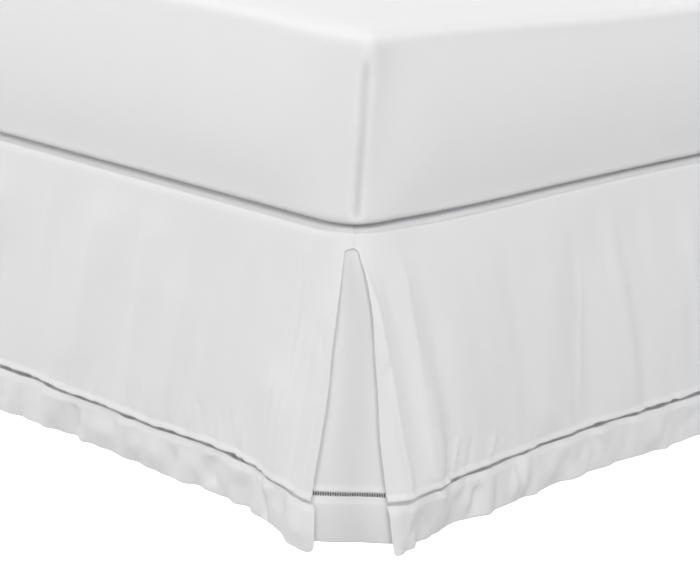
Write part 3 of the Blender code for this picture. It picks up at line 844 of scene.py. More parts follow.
def inset_panel(first_end, second_end, seed):
    """The grid of an inset, from its rolled seam to its hem."""
    upper, lower = drop_heights()
    heights = np.concatenate([upper, lower])
    seam = inset_line(first_end, second_end, 0.0)
    rows = []
    for angle in np.radians(np.linspace(INSET_ROLL_STARTS, 0.0, INSET_ROLL_ROWS + 1))[:-1]:
        inwards = INSET_ROLL_WIDTH * (1.0 - math.cos(angle) ** INSET_ROLL_SLOPE)
        height = ROLL_AXIS_Z + INSET_ROLL_HEIGHT * math.sin(angle) ** INSET_ROLL_SLOPE
        rows.append(level_points(moved_inwards(seam, inwards), height))
    rolled_rows = len(rows)
    for height in heights:
        fall = (ROLL_AXIS_Z - height) / FALL_HEIGHT
        rows.append(level_points(inset_line(first_end, second_end, fall), height))
    points = np.stack(rows, axis=1)
    facing = facing_way(points, (-1.0, 1.0, 0.0))
    along = np.linspace(-INSET_REACH, INSET_REACH, len(points))
    wide = np.broadcast_to(along[:, None], (len(along), len(heights))) + INSET_START
    tall = np.broadcast_to(heights[None, :], wide.shape)
    slit_row = rolled_rows + len(upper)
    detail = np.zeros(points.shape[:2])
    detail[:, rolled_rows:] = (
        uneven(INSET_STREAKS, seed, wide, tall) * below_seam(tall)
        + uneven(INSET_HEM_SWING, seed, wide) * within_hem(tall)
        - drawn_in(tall)
    )
    detail[:, slit_row - len(TUCK):slit_row] += tuck_out() * TUCK_ON_INSET
    return finished_panel(points, facing, detail, along, slit_row, np.zeros((len(along), 1), dtype=bool))


# ---------------------------------------------------------------- from numbers to pieces

def alone(thing):
    """Make one object the active and only selected one."""
    bpy.ops.object.select_all(action="DESELECT")
    thing.select_set(True)
    bpy.context.view_layer.objects.active = thing


def turned_into_place(points, corner, turn, hand=1):
    """Points of a panel's own frame, in the bed's frame."""
    points = points * [hand, 1.0, 1.0]
    cos, sin = round(math.cos(turn)), round(math.sin(turn))
    turned = np.empty_like(points)
    turned[..., 0] = cos * points[..., 0] - sin * points[..., 1] + corner[0]
    turned[..., 1] = sin * points[..., 0] + cos * points[..., 1] + corner[1]
    turned[..., 2] = points[..., 2]
    return turned


def new_piece(name, points, faces, material, weave=None):
    mesh = bpy.data.meshes.new(name)
    mesh.from_pydata(points.reshape(-1, 3).tolist(), [], faces)
    mesh.update()
    if weave is not None:
        corners = np.empty(len(mesh.loops), dtype=np.int32)
        mesh.loops.foreach_get("vertex_index", corners)
        mesh.uv_layers.new(name="weave")
        mesh.uv_layers["weave"].data.foreach_set("uv", weave.reshape(-1, 2)[corners].ravel())
    mesh.materials.append(material)
    mesh.shade_smooth()
    piece = bpy.data.objects.new(name, mesh)
    bpy.context.scene.collection.objects.link(piece)
    return piece


def grid_faces(columns, rows, breaks=(), flip=False, closed=(False, False)):
    """Quads of a grid. No quad crosses a row named in breaks. The columns, the rows or both may close
    round on themselves."""
    faces = []
    for column in range(columns if closed[0] else columns - 1):
        here = column * rows
        beside = (column + 1) % columns * rows
        for row in range(rows if closed[1] else rows - 1):
            if row + 1 in breaks:
                continue
            below = (row + 1) % rows
            quad = (here + row, here + below, beside + below, beside + row)
            faces.append(quad[::-1] if flip else quad)
    return faces


def thicken(piece, thickness, group=""):
    """Give a sheet its thickness, half of it to each side, less where its vertex group weighs less."""
    thick = piece.modifiers.new("layers", "SOLIDIFY")
    thick.thickness = thickness
    thick.offset = 0.0
    thick.vertex_group = group
    alone(piece)
    bpy.ops.object.modifier_apply(modifier=thick.name)


def sewn_panel(name, panel, corner, turn, material, hand=1):
    """A sheet of cloth through a panel's grid, as thick as its layers."""
    points = turned_into_place(panel.points, corner, turn, hand)
    columns, rows = points.shape[:2]
    faces = grid_faces(columns, rows, breaks=(panel.slit_row,), flip=hand < 0)
    piece = new_piece(name, points, faces, material, panel.weave)
    group = piece.vertex_groups.new(name="layers")
    weights = panel.layers.ravel()
    for weight in np.unique(weights):
        group.add(np.nonzero(weights == weight)[0].tolist(), float(weight), "REPLACE")
    thicken(piece, HEM_LAYERS, group.name)
    return piece, points


# A bundle of threads across the slit, pinched in its middle
Section = namedtuple("Section", "share half_width half_depth")
BUNDLE = (
    Section(-0.30, 0.00070, 0.00026),
    Section(0.14, 0.00042, 0.00032),
    Section(0.50, 0.00030, 0.00034),
    Section(0.86, 0.00042, 0.00032),
    Section(1.30, 0.00070, 0.00026),
)
BUNDLE_SIDES = 6
BUNDLE_SPACING = 0.0029
INSET_STOUTNESS = 1.9


def hemstitching(name, panel, points, material, stoutness=1.0):
    """The bundles of threads that cross the slit, joined in one piece."""
    above = points[:, panel.slit_row - 1]
    below = points[:, panel.slit_row]
    length = walked(below[:, None], 0)[:, 0]
    count = int(length[-1] / BUNDLE_SPACING)
    stations = (np.arange(count) + 0.5) * length[-1] / count
    top, bottom, along = (
        np.stack([np.interp(stations, length, values[:, axis]) for axis in range(3)], axis=-1)
        for values in (above, below, np.gradient(below, axis=0))
    )
    along /= np.linalg.norm(along, axis=1, keepdims=True)
    depth = np.cross(along, top - bottom)
    depth /= np.linalg.norm(depth, axis=1, keepdims=True)
    turn = np.arange(BUNDLE_SIDES) / BUNDLE_SIDES * 2 * math.pi
    rings = [
        blend(top, bottom, section.share)[:, None]
        + along[:, None] * (stoutness * section.half_width * np.cos(turn))[None, :, None]
        + depth[:, None] * (section.half_depth * np.sin(turn))[None, :, None]
        for section in BUNDLE
    ]
    size = len(BUNDLE) * BUNDLE_SIDES
    first_ring = tuple(range(BUNDLE_SIDES))
    last_ring = tuple(range(size - BUNDLE_SIDES, size))
    one = grid_faces(len(BUNDLE), BUNDLE_SIDES, closed=(False, True)) + [first_ring[::-1], last_ring]
    faces = [tuple(bundle * size + corner for corner in face) for bundle in range(count) for face in one]
    piece = new_piece(name, np.stack(rings, axis=1), faces, material)
    outwards(piece)
    return piece


def outwards(piece):
    """Turn every face of a closed piece outwards."""
    alone(piece)
    bpy.ops.object.mode_set(mode="EDIT")
    bpy.ops.mesh.select_all(action="SELECT")
    bpy.ops.mesh.normals_make_consistent(inside=False)
    bpy.ops.object.mode_set(mode="OBJECT")


# ---------------------------------------------------------------- finishes

class Field:
    """A value over a surface. Sums and products of fields add Math nodes to the material."""

    def __init__(self, finish, socket):
        self.finish = finish
        self.socket = socket

    def math(self, operation, *values):
        sockets = dict(enumerate((self,) + values))
        return self.finish.field("ShaderNodeMath", {"operation": operation}, sockets)

    def __add__(self, other):
        return self.math("ADD", other)

    def __mul__(self, other):
        return self.math("MULTIPLY", other)

    def __sub__(self, other):
        return self.math("SUBTRACT", other)

    def __rsub__(self, other):
        return self.math("MULTIPLY", -1.0).math("ADD", other)

    __radd__ = __add__
    __rmul__ = __mul__


class Finish:
    """A material in the making."""

    def __init__(self, name, roughness, sheen=0.0):
        self.material = bpy.data.materials.new(name)
        self.material.use_nodes = True
        self.tree = self.material.node_tree
        self.shader = self.tree.nodes["Principled BSDF"]
        self.shader.inputs["Roughness"].default_value = roughness
        self.shader.inputs["Sheen Weight"].default_value = sheen
        self.shader.inputs["Sheen Roughness"].default_value = SHEEN_ROUGHNESS

    def node(self, kind, settings=None, sockets=None):
        node = self.tree.nodes.new(kind)
        for name, setting in (settings or {}).items():
            setattr(node, name, setting)
        for name, value in (sockets or {}).items():
            self.join(value, node.inputs[name])
        return node

    def join(self, value, socket):
        if isinstance(value, Field):
            value = value.socket
        if isinstance(value, bpy.types.NodeSocket):
            self.tree.links.new(value, socket)
        else:
            socket.default_value = value

    def field(self, kind, settings=None, sockets=None, output=0):
        return Field(self, self.node(kind, settings, sockets).outputs[output])

    def mix(self, share, first, second):
        """A colour between two colours. The first may be a pattern."""
        if not isinstance(first, bpy.types.NodeSocket):
            first = (*first, 1.0)
        sockets = {"Factor": share, 6: first, 7: (*second, 1.0)}
        return self.node("ShaderNodeMix", {"data_type": "RGBA"}, sockets).outputs[2]

    def cloudiness(self, vector, clouds):
        """A cloudy pattern, its place stretched before it is read."""
        sockets = {"Vector": vector, "Scale": clouds.scale}
        place = self.field("ShaderNodeMapping", {"vector_type": "POINT"}, sockets)
        sockets = {"Vector": place, "Scale": 1.0, "Detail": clouds.detail, "Roughness": clouds.roughness}
        return self.field("ShaderNodeTexNoise", {}, sockets)

    def object_place(self):
        return self.node("ShaderNodeTexCoord").outputs["Object"]

    def raise_by(self, height):
        bump = self.node("ShaderNodeBump", {}, {"Height": height, "Distance": 1.0, "Strength": 1.0})
        self.join(bump.outputs[0], self.shader.inputs["Normal"])

    def colour(self, value):
        self.join(value, self.shader.inputs["Base Color"])


# Cloudy patterns: how often they repeat to the metre each way, how many sizes of cloud lie in each
# other, and how strong the smaller ones are
Clouds = namedtuple("Clouds", "scale detail roughness", defaults=(0.5,))
THREAD_SHIFT = Clouds((90.0, 90.0, 90.0), 2.0)
SLUBS = Clouds((1100.0, 38.0, 1.0), 1.0)
CROSS_SLUBS = Clouds((34.0, 1200.0, 1.0), 1.0)
CLOTH_CLOUDS = Clouds((9.0, 5.0, 1.0), 3.0)
CRUMPLES = Clouds((26.0, 15.0, 1.0), 4.0, 0.55)
OAK_GRAIN = Clouds((70.0, 70.0, 5.0), 4.0, 0.6)
OAK_RINGS = Clouds((240.0, 240.0, 12.0), 2.0)
OAK_PORES = Clouds((1400.0, 1400.0, 60.0), 1.0)
FELT_FUZZ = Clouds((900.0, 900.0, 900.0), 3.0)
SHEEN_ROUGHNESS = 0.45

WARP_SHIFTED = 5.0
WEFT_SHIFTED = 7.0
SLUB_SHARE = 0.6
ROUGHNESS_RANGE = 0.10
THREAD_RELIEF = 0.00004
SLUB_RELIEF = 0.00012

# Each cloth: its two colours, the pitch of its threads, its roughness and sheen, how deep it crumples,
# and the colour of the painted shade along its seam where it carries one
Cloth = namedtuple("Cloth", "name dark light pitch roughness sheen crumple seam", defaults=(None,))
WHITE = (0.87, 0.87, 0.875)
SOFT_WHITE = (0.825, 0.825, 0.835)
CLOTHS = {
    "drop": Cloth("drop_percale", SOFT_WHITE, WHITE, 0.00042, 0.78, 0.15, 0.0010),
    # Painted light: the inset is the same percale as the drops, given lighter colours to lift the shade it
    # hangs in behind them
    "inset": Cloth("inset_percale_painted_lighter", (0.885, 0.885, 0.895), (0.92, 0.92, 0.925), 0.00042, 0.78, 0.15, 0.0006),
    "thread": Cloth("hemstitch_thread", SOFT_WHITE, WHITE, 0.00042, 0.70, 0.20, 0.0),
    "deck": Cloth("deck_lining", (0.78, 0.78, 0.78), (0.84, 0.84, 0.84), 0.0006, 0.88, 0.05, 0.0008),
    # The sheet's last colour is painted shade, laid into the grooves of its corner seams
    "sheet": Cloth("mattress_sheet", SOFT_WHITE, WHITE, 0.00036, 0.72, 0.15, 0.0004, (0.70, 0.70, 0.705)),
    "base": Cloth("base_weave", (0.42, 0.42, 0.43), (0.58, 0.58, 0.59), 0.0016, 0.92, 0.10, 0.0006),
    "dust": Cloth("dust_cover", (0.03, 0.03, 0.03), (0.07, 0.07, 0.07), 0.0012, 0.95, 0.05, 0.0010),
}

OAK_COLOURS = ((0.33, 0.20, 0.10), (0.60, 0.42, 0.24))
OAK_GRAIN_SHARE = 0.6
OAK_ROUGHNESS = 0.40
OAK_PORE_ROUGHNESS = 0.16
OAK_OIL = 0.15
OAK_OIL_ROUGHNESS = 0.30
OAK_PORE_RELIEF = 0.00010
OAK_RING_RELIEF = 0.00006
FELT_COLOURS = ((0.10, 0.09, 0.08), (0.20, 0.18, 0.16))
FELT_ROUGHNESS = 0.97
FELT_SHEEN = 0.3
FELT_RELIEF = 0.0004


def woven(cloth):
    """A plain-woven cloth: its threads, their thick and thin places, and its soft unevenness."""
    finish = Finish(cloth.name, cloth.roughness, cloth.sheen)
    weave = finish.node("ShaderNodeUVMap", {"uv_map": "weave"}).outputs["UV"]
    shift = finish.cloudiness(weave, THREAD_SHIFT)
    parts = finish.node("ShaderNodeSeparateXYZ", {}, {"Vector": weave})
    turns = 2 * math.pi / cloth.pitch
    warp = (Field(finish, parts.outputs[0]) * turns + shift * WARP_SHIFTED).math("SINE")
    weft = (Field(finish, parts.outputs[1]) * turns + shift * WEFT_SHIFTED).math("SINE")
    slubs = finish.cloudiness(weave, SLUBS) * 0.5 + finish.cloudiness(weave, CROSS_SLUBS) * 0.5
    clouds = finish.cloudiness(weave, CLOTH_CLOUDS)
    colour = finish.mix(slubs * SLUB_SHARE + clouds * (1.0 - SLUB_SHARE), cloth.dark, cloth.light)
    # Painted shade: the colour darkens towards the seam colour where the mesh's seam attribute marks a seam's
    # groove
    if cloth.seam is not None:
        painted_seam_shade = finish.field("ShaderNodeAttribute", {"attribute_name": "seam"}, output=2)
        colour = finish.mix(painted_seam_shade, colour, cloth.seam)
    finish.colour(colour)
    rough = slubs * ROUGHNESS_RANGE + (cloth.roughness - ROUGHNESS_RANGE / 2)
    finish.join(rough, finish.shader.inputs["Roughness"])
    crumples = finish.cloudiness(weave, CRUMPLES)
    finish.raise_by(warp * weft * THREAD_RELIEF + slubs * SLUB_RELIEF + crumples * cloth.crumple)
    return finish.material


def turned_oak():
    """Oiled oak whose grain runs up the leg, with fine dark pores."""
    finish = Finish("turned_oak", OAK_ROUGHNESS)
    place = finish.object_place()
    grain, rings, pores = (finish.cloudiness(place, clouds) for clouds in (OAK_GRAIN, OAK_RINGS, OAK_PORES))
    figure = grain * OAK_GRAIN_SHARE + rings * (1.0 - OAK_GRAIN_SHARE)
    finish.colour(finish.mix(figure, *OAK_COLOURS))
    finish.join(pores * OAK_PORE_ROUGHNESS + OAK_ROUGHNESS, finish.shader.inputs["Roughness"])
    finish.shader.inputs["Coat Weight"].default_value = OAK_OIL
    finish.shader.inputs["Coat Roughness"].default_value = OAK_OIL_ROUGHNESS
    finish.raise_by(pores * OAK_PORE_RELIEF + rings * OAK_RING_RELIEF)
    return finish.material


def glide_felt():
    finish = Finish("glide_felt", FELT_ROUGHNESS, FELT_SHEEN)
    fuzz = finish.cloudiness(finish.object_place(), FELT_FUZZ)
    finish.colour(finish.mix(fuzz, *FELT_COLOURS))
    finish.raise_by(fuzz * FELT_RELIEF)
    return finish.material


def make_finishes():
    """Every finish of the bed and the skirt, by what it is on."""
    finishes = {key: woven(cloth) for key, cloth in CLOTHS.items()}
    return finishes | {"oak": turned_oak(), "felt": glide_felt()}


# ---------------------------------------------------------------- the bed

def box_weave(mesh):
    """Lay the weave over a mesh from the side that each face looks to."""
    count = len(mesh.polygons)
    facing = np.empty(count * 3)
    mesh.polygons.foreach_get("normal", facing)
    sizes = np.empty(count, dtype=np.int32)
    mesh.polygons.foreach_get("loop_total", sizes)
    facing = np.repeat(np.abs(facing.reshape(-1, 3)).argmax(axis=1), sizes)
    corners = np.empty(len(mesh.loops), dtype=np.int32)
    mesh.loops.foreach_get("vertex_index", corners)
    places = np.empty(len(mesh.vertices) * 3)
    mesh.vertices.foreach_get("co", places)
    places = places.reshape(-1, 3)[corners]
    weave = np.where((facing == 0)[:, None], places[:, [1, 2]], places[:, [0, 2]])
    weave = np.where((facing == 2)[:, None], places[:, [0, 1]], weave)
    mesh.uv_layers.new(name="weave")
    mesh.uv_layers["weave"].data.foreach_set("uv", weave.ravel())


# The mattress in its fitted sheet, from the middle of its underside to the middle of its top: how far
# inside the bed's faces it lies, and how high over the floor, or for the lower rim over its underside.
# Past the inset of the last row the rows shrink towards the middle.
Rim = namedtuple("Rim", "inset height")
MATTRESS_BOTTOM = mattress_low[2]
MATTRESS_RIM = (
    Rim(0.0580, 0.0000),
    Rim(0.0460, 0.0000),
    Rim(0.0340, 0.0000),
    Rim(0.0260, 0.0000),
    Rim(0.0190, -0.0003),
    Rim(0.0145, -0.0005),
    Rim(0.0106, -0.0003),
    Rim(0.0074, 0.0006),
    Rim(0.0048, 0.0022),
    Rim(0.0028, 0.0044),
    Rim(0.0013, 0.0070),
    Rim(0.0004, 0.0100),
    Rim(0.0000, 0.0132),
)
MATTRESS_EDGE = (
    Rim(0.0004, 0.5860),
    Rim(0.0014, 0.5915),
    Rim(0.0032, 0.5964),
    Rim(0.0060, 0.6004),
    Rim(0.0100, 0.6034),
    Rim(0.0155, 0.6054),
    Rim(0.0230, 0.6066),
    Rim(0.0340, 0.6075),
    Rim(0.0480, 0.6083),
)
SIDE_ROW = 0.0085
TOP_RINGS = 18
TOP_CROWN = 0.0060
SIDE_BULGE = 0.0165
SHEET_CORNER_RADIUS = 0.018
SHEET_CORNER_AT_FOOT = 0.25
SHEET_CORNER_FULL = 0.130
SEAM_COLUMN = 0.0010
SEAM_REACH = 0.014
ARC_COLUMN = 0.0036
STRAIGHT_COLUMN = 0.020
SEAM_SHIFT_LOW = 0.005
SEAM_SHIFT_HIGH = 0.010
SEAM_DEPTH = 0.0050
SEAM_HALF_WIDTH = 0.0060
SEAM_PAINTED_SHADE_WIDTH = 0.0042
SEAM_BELOW = 0.008
SEAM_APPEARS_OVER = 0.010
SEAM_TOP_Z = 0.562
SEAM_VANISHES_OVER = 0.020
SEAM_PULL_REACH = 0.011
SEAM_PULL_STARTS = 0.002
BULGE_FROM = 0.005
BULGE_RISES_OVER = 0.10
RISES_FROM_Z = 0.45
RISES_OVER = 0.14
SAG_FADES_UP = 0.08
SAG_FADES_IN = 0.016
SLACK_FULL_AT = 0.25
SLACK_ENDS_AT = 1.2
SLACK_START = 5.0
SEAM_PULL = Unevenness(0.0006, 0.0085, None, 1)
SHEET_SLACK = Unevenness(0.0010, 0.16, 0.09, 3)

# How the top edge rises at the foot, less so at the corners, and sinks at the sides
FOOT_RISE = 0.012
FOOT_RISE_AT_CORNER = 0.005
FOOT_RISE_SPREAD = 0.28
FOOT_RISE_REACH = 0.35
SIDE_SINKS = 0.012
SIDE_SINKS_REACH = 0.30
SIDE_SINKS_BY = 0.62
SIDE_RECOVERS_FROM = 0.70
SIDE_RECOVERS_OVER = 0.60


def rim_stations(half_width, half_length):
    """Stations round the rounded rectangle: a point of its core, the way out, and the distance along
    the rim from the middle of the nearest corner."""
    arc = CORNER_RADIUS * math.pi / 2
    half_arc = arc / 2
    fine = spaced(-SEAM_REACH, SEAM_REACH, SEAM_COLUMN)
    coarse = spaced(SEAM_REACH, half_arc, ARC_COLUMN)[1:]
    on_arc = np.concatenate([-coarse[::-1], fine, coarse])
    core = np.array([half_width - CORNER_RADIUS, half_length - CORNER_RADIUS])
    corners = (((1, -1), -90.0), ((1, 1), 0.0), ((-1, 1), 90.0), ((-1, -1), 180.0))
    cores, ways, distances, corner_of = [], [], [], []
    for index, (signs, start) in enumerate(corners):
        turn = np.radians(start) + (on_arc + half_arc) / CORNER_RADIUS
        here = core * signs
        cores.append(np.broadcast_to(here, (len(turn), 2)))
        ways.append(np.column_stack([np.cos(turn), np.sin(turn)]))
        distances.append(on_arc)
        corner_of.append(np.full(len(turn), index))
        there = core * corners[(index + 1) % 4][0]
        length = float(np.linalg.norm(there - here))
        share = spaced(0.0, 1.0, STRAIGHT_COLUMN / length)[1:-1]
        cores.append(blend(here, there, share[:, None]))
        ways.append(np.broadcast_to(ways[-1][-1], (len(share), 2)))
        straight = share * length
        distances.append(np.where(share < 0.5, straight + half_arc, straight - length - half_arc))
        corner_of.append(np.where(share < 0.5, index, (index + 1) % 4))
    return (
        np.concatenate(cores), np.concatenate(ways), np.concatenate(distances), np.concatenate(corner_of)
    )


def corner_push(from_corner):
    """How far the sheet's pointed corner stands out of the round corner of the bed."""
    turn = np.minimum(np.abs(from_corner) / CORNER_RADIUS, HALF_TURN)
    off = CORNER_RADIUS - SHEET_CORNER_RADIUS
    centre = off * math.sqrt(2.0)
    pointed = centre * np.cos(turn) + np.sqrt(
        np.maximum(SHEET_CORNER_RADIUS ** 2 - (centre * np.sin(turn)) ** 2, 0.0)
    )
    flat = CORNER_RADIUS / np.cos(HALF_TURN - turn)
    on_point = turn < HALF_TURN - math.atan(off / CORNER_RADIUS)
    return np.where(on_point, pointed, flat) - CORNER_RADIUS


def mattress_rise(x, y):
    """How far the soft top edge of the mattress stands over or under its flat height."""
    from_foot = y - mattress_low[1]
    from_side = (mattress_high[0] - mattress_low[0]) / 2 - np.abs(x)
    foot = blend(FOOT_RISE_AT_CORNER, FOOT_RISE, smoothstep(from_side / FOOT_RISE_SPREAD))
    foot = foot * np.exp(-(from_foot / FOOT_RISE_REACH) ** 2)
    recovered = smoothstep((from_foot - SIDE_RECOVERS_FROM) / SIDE_RECOVERS_OVER)
    sunk = smoothstep(from_foot / SIDE_SINKS_BY) * (1.0 - recovered)
    return foot - SIDE_SINKS * sunk * np.exp(-(from_side / SIDE_SINKS_REACH) ** 2)


def edge_sag(core, way, half_length):
    """How far the mattress's lower edge sags with the skirt's roll under it."""
    on_side = soft_curve(SIDE_SAGS, core[:, 1] + half_length, "depth")
    return blend(FOOT_SAGS[0].depth, on_side, smoothstep(np.abs(way[:, 0]) * (way[:, 1] < 0.5)))


def build_mattress(finishes):
    """The mattress in its fitted sheet, one closed form with a sewn seam down each corner, its groove
    darkened with painted shade.
    """
    half_width = (mattress_high[0] - mattress_low[0]) / 2
    half_length = (mattress_high[1] - mattress_low[1]) / 2
    middle_y = mattress_low[1] + half_length
    core, way, from_corner, corner = rim_stations(half_width, half_length)
    seam_side = np.where(np.isin(corner, (0, 2)), 1.0, -1.0)
    lower = tuple(Rim(rim.inset, MATTRESS_BOTTOM + rim.height) for rim in MATTRESS_RIM)
    side_low, side_high = lower[-1].height, MATTRESS_EDGE[0].height
    side = tuple(Rim(0.0, height) for height in spaced(side_low, side_high, SIDE_ROW)[1:-1])
    bulges_at = smoothstep((np.abs(from_corner) - BULGE_FROM) / BULGE_RISES_OVER)
    rows = []
    seam_painted_shades = []
    for rim in lower + side + MATTRESS_EDGE:
        height = rim.height
        level = np.full_like(from_corner, height)
        up = (height - side_low) / (side_high - side_low)
        bulge = SIDE_BULGE * np.sin(np.clip(up, 0.0, 1.0) * math.pi) * bulges_at
        from_seam = from_corner - blend(SEAM_SHIFT_LOW, SEAM_SHIFT_HIGH, up) * seam_side
        squared = blend(SHEET_CORNER_AT_FOOT, 1.0, smoothstep((height - MATTRESS_BOTTOM) / SHEET_CORNER_FULL))
        squared = squared * (1.0 - smoothstep(rim.inset / MATTRESS_EDGE[-1].inset))
        bulge = bulge + squared * corner_push(from_seam)
        shows = smoothstep((height - side_low + SEAM_BELOW) / SEAM_APPEARS_OVER)
        shows = shows * (1.0 - smoothstep((height - SEAM_TOP_Z) / SEAM_VANISHES_OVER))
        trough = SEAM_DEPTH * np.exp(-(from_seam / SEAM_HALF_WIDTH) ** 2) * shows
        # Painted shade along each corner seam's groove, stored on the mesh for the sheet's finish
        seam_painted_shades.append(shows * np.exp(-(from_seam / SEAM_PAINTED_SHADE_WIDTH) ** 2))
        pull = uneven(SEAM_PULL, MATTRESS_SEED, level) * np.sign(from_seam) * shows
        pull = pull * smoothstep(np.abs(from_seam) / SEAM_PULL_STARTS)
        pull = pull * np.exp(-(from_seam / SEAM_PULL_REACH) ** 2)
        slack = uneven(SHEET_SLACK, MATTRESS_SEED, from_corner + SLACK_START, level)
        slack = slack * smoothstep(up / SLACK_FULL_AT) * (up < SLACK_ENDS_AT)
        out = CORNER_RADIUS - rim.inset + bulge - trough + pull + slack
        plan = core + way * out[:, None]
        lift = mattress_rise(plan[:, 0], plan[:, 1] + middle_y)
        lift = lift * smoothstep((height - RISES_FROM_Z) / RISES_OVER)
        sag = edge_sag(core, way, half_length) * (1.0 - smoothstep((height - MATTRESS_BOTTOM) / SAG_FADES_UP))
        sag = sag * (1.0 - smoothstep(rim.inset / SAG_FADES_IN))
        rows.append(np.column_stack([plan, height + lift - sag]))
    top = MATTRESS_EDGE[-1]
    ring_plan = core + way * (CORNER_RADIUS - top.inset)
    for share in np.linspace(0.0, 1.0, TOP_RINGS + 1)[1:-1]:
        plan = ring_plan * (1.0 - share)
        lift = mattress_rise(plan[:, 0], plan[:, 1] + middle_y)
        crown = TOP_CROWN * math.sin(share * math.pi / 2)
        rows.append(np.column_stack([plan, top.height + crown + lift]))
        seam_painted_shades.append(np.zeros(len(plan)))
    points = np.stack(rows, axis=1)
    columns, count = points.shape[:2]
    faces = grid_faces(columns, count, closed=(True, False))
    under = columns * count
    for column in range(columns):
        here, beside = column * count, (column + 1) % columns * count
        faces.append((under, here, beside))
        faces.append((under + 1, beside + count - 1, here + count - 1))
    ends = [[0.0, 0.0, MATTRESS_BOTTOM], [0.0, 0.0, top.height + TOP_CROWN]]
    points = np.concatenate([points.reshape(-1, 3), ends]) + [0.0, middle_y, 0.0]
    piece = new_piece("mattress_in_sheet", points, faces, finishes["sheet"])
    seam = piece.data.attributes.new("seam", "FLOAT", "POINT")
    seam.data.foreach_set("value", np.append(np.stack(seam_painted_shades, axis=1).ravel(), (0.0, 0.0)))
    box_weave(piece.data)
    outwards(piece)
    return piece


# The deck ends where the drops' seam allowances begin
DECK_REACH_X = SIDE_FACE_X + SEAM_INNER_OUT
DECK_FOOT_Y = FOOT_FACE_Y - SEAM_INNER_OUT
DECK_COLUMN = 0.02
DECK_START = 2.0
DECK_WAVES = Unevenness(0.0003, 0.05, 0.07, 0)


def build_deck(finishes):
    """The flat cloth between the mattress and the base."""
    across = spaced(-DECK_REACH_X, DECK_REACH_X, DECK_COLUMN)
    down = spaced(DECK_FOOT_Y, deck_high[1], DECK_COLUMN)
    x, y = np.meshgrid(across, down, indexing="ij")
    z = DECK_Z + uneven(DECK_WAVES, DECK_SEED, x + DECK_START, y + DECK_START)
    points = np.stack([x, y, z], axis=-1)
    weave = np.stack([x, y], axis=-1)
    piece = new_piece("deck_cloth", points, grid_faces(*x.shape, flip=True), finishes["deck"], weave)
    thicken(piece, ONE_LAYER)
    return piece


# ---------------------------------------------------------------- the base and its legs

BASE_CORNER_SEGMENTS = 12
BASE_TOP_BEVEL = 0.046
BASE_TOP_SEGMENTS = 10
BASE_BOTTOM_BEVEL = 0.006
BASE_BOTTOM_SEGMENTS = 3
DUST_COVER_INSET = 0.022
LEVEL_FACE = 0.99
SHARP_ANGLE = math.radians(40)
TOUCHING = 0.0001

WELT_HEIGHTS = (0.334, 0.160)
WELT_RADIUS = 0.0020
WELT_SUNK = 0.0006
WELT_SIDES = 8


def select_only(piece, kind, wanted):
    """In edit mode, select only the edges or faces that are wanted."""
    bpy.ops.mesh.select_mode(type=kind)
    bpy.ops.mesh.select_all(action="DESELECT")
    builder = bmesh.from_edit_mesh(piece.data)
    for part in builder.edges if kind == "EDGE" else builder.faces:
        part.select_set(wanted(part))
    bmesh.update_edit_mesh(piece.data)


def on_level(height):
    """Picks edges that lie at one height."""
    return lambda edge: all(abs(corner.co.z - height) < TOUCHING for corner in edge.verts)


def build_base(finishes):
    """The base: a boxed frame in a coarse cover, with a welt at both rims and a dust cover below."""
    size = base_high - base_low
    bpy.ops.object.select_all(action="DESELECT")
    bpy.ops.mesh.primitive_cube_add(size=1.0, location=(base_high + base_low) / 2)
    base = bpy.context.object
    base.name = "covered_base"
    base.scale = size
    bpy.ops.object.transform_apply(location=True, rotation=True, scale=True)
    base.data.materials.append(finishes["base"])
    base.data.materials.append(finishes["dust"])
    bpy.ops.object.mode_set(mode="EDIT")
    upright = size[2] / 2
    select_only(base, "EDGE", lambda edge: abs(edge.verts[0].co.z - edge.verts[1].co.z) > upright)
    bpy.ops.mesh.bevel(offset=CORNER_RADIUS, segments=BASE_CORNER_SEGMENTS, affect="EDGES")
    select_only(base, "EDGE", on_level(base_high[2]))
    bpy.ops.mesh.bevel(offset=BASE_TOP_BEVEL, segments=BASE_TOP_SEGMENTS, affect="EDGES")
    select_only(base, "EDGE", on_level(base_low[2]))
    bpy.ops.mesh.bevel(offset=BASE_BOTTOM_BEVEL, segments=BASE_BOTTOM_SEGMENTS, affect="EDGES")
    select_only(base, "FACE", lambda face: face.normal.z < -LEVEL_FACE)
    bpy.ops.mesh.inset(thickness=DUST_COVER_INSET)
    base.active_material_index = 1
    bpy.ops.object.material_slot_assign()
    bpy.ops.object.mode_set(mode="OBJECT")
    box_weave(base.data)
    welts = [build_welt(height, size, finishes["base"]) for height in WELT_HEIGHTS]
    alone(base)
    for welt in welts:
        welt.select_set(True)
    bpy.ops.object.join()
    outwards(base)
    bpy.ops.object.shade_smooth_by_angle(angle=SHARP_ANGLE)
    return base


def build_welt(height, size, material):
    """A covered cord sewn round the base at one height."""
    core, way = rim_stations(size[0] / 2, size[1] / 2)[:2]
    turn = np.arange(WELT_SIDES) / WELT_SIDES * 2 * math.pi
    out = CORNER_RADIUS - WELT_SUNK + WELT_RADIUS * np.cos(turn)
    plan = core[:, None] + way[:, None] * out[None, :, None] + [0.0, (base_low[1] + base_high[1]) / 2]
    up = np.broadcast_to(height + WELT_RADIUS * np.sin(turn), plan.shape[:2])
    points = np.concatenate([plan, up[..., None]], axis=-1)
    faces = grid_faces(len(core), WELT_SIDES, closed=(True, True))
    along = np.broadcast_to(np.arange(len(core))[:, None] * STRAIGHT_COLUMN, plan.shape[:2])
    weave = np.stack([along, np.broadcast_to(turn * WELT_RADIUS, plan.shape[:2])], axis=-1)
    return new_piece("welt", points, faces, material, weave)


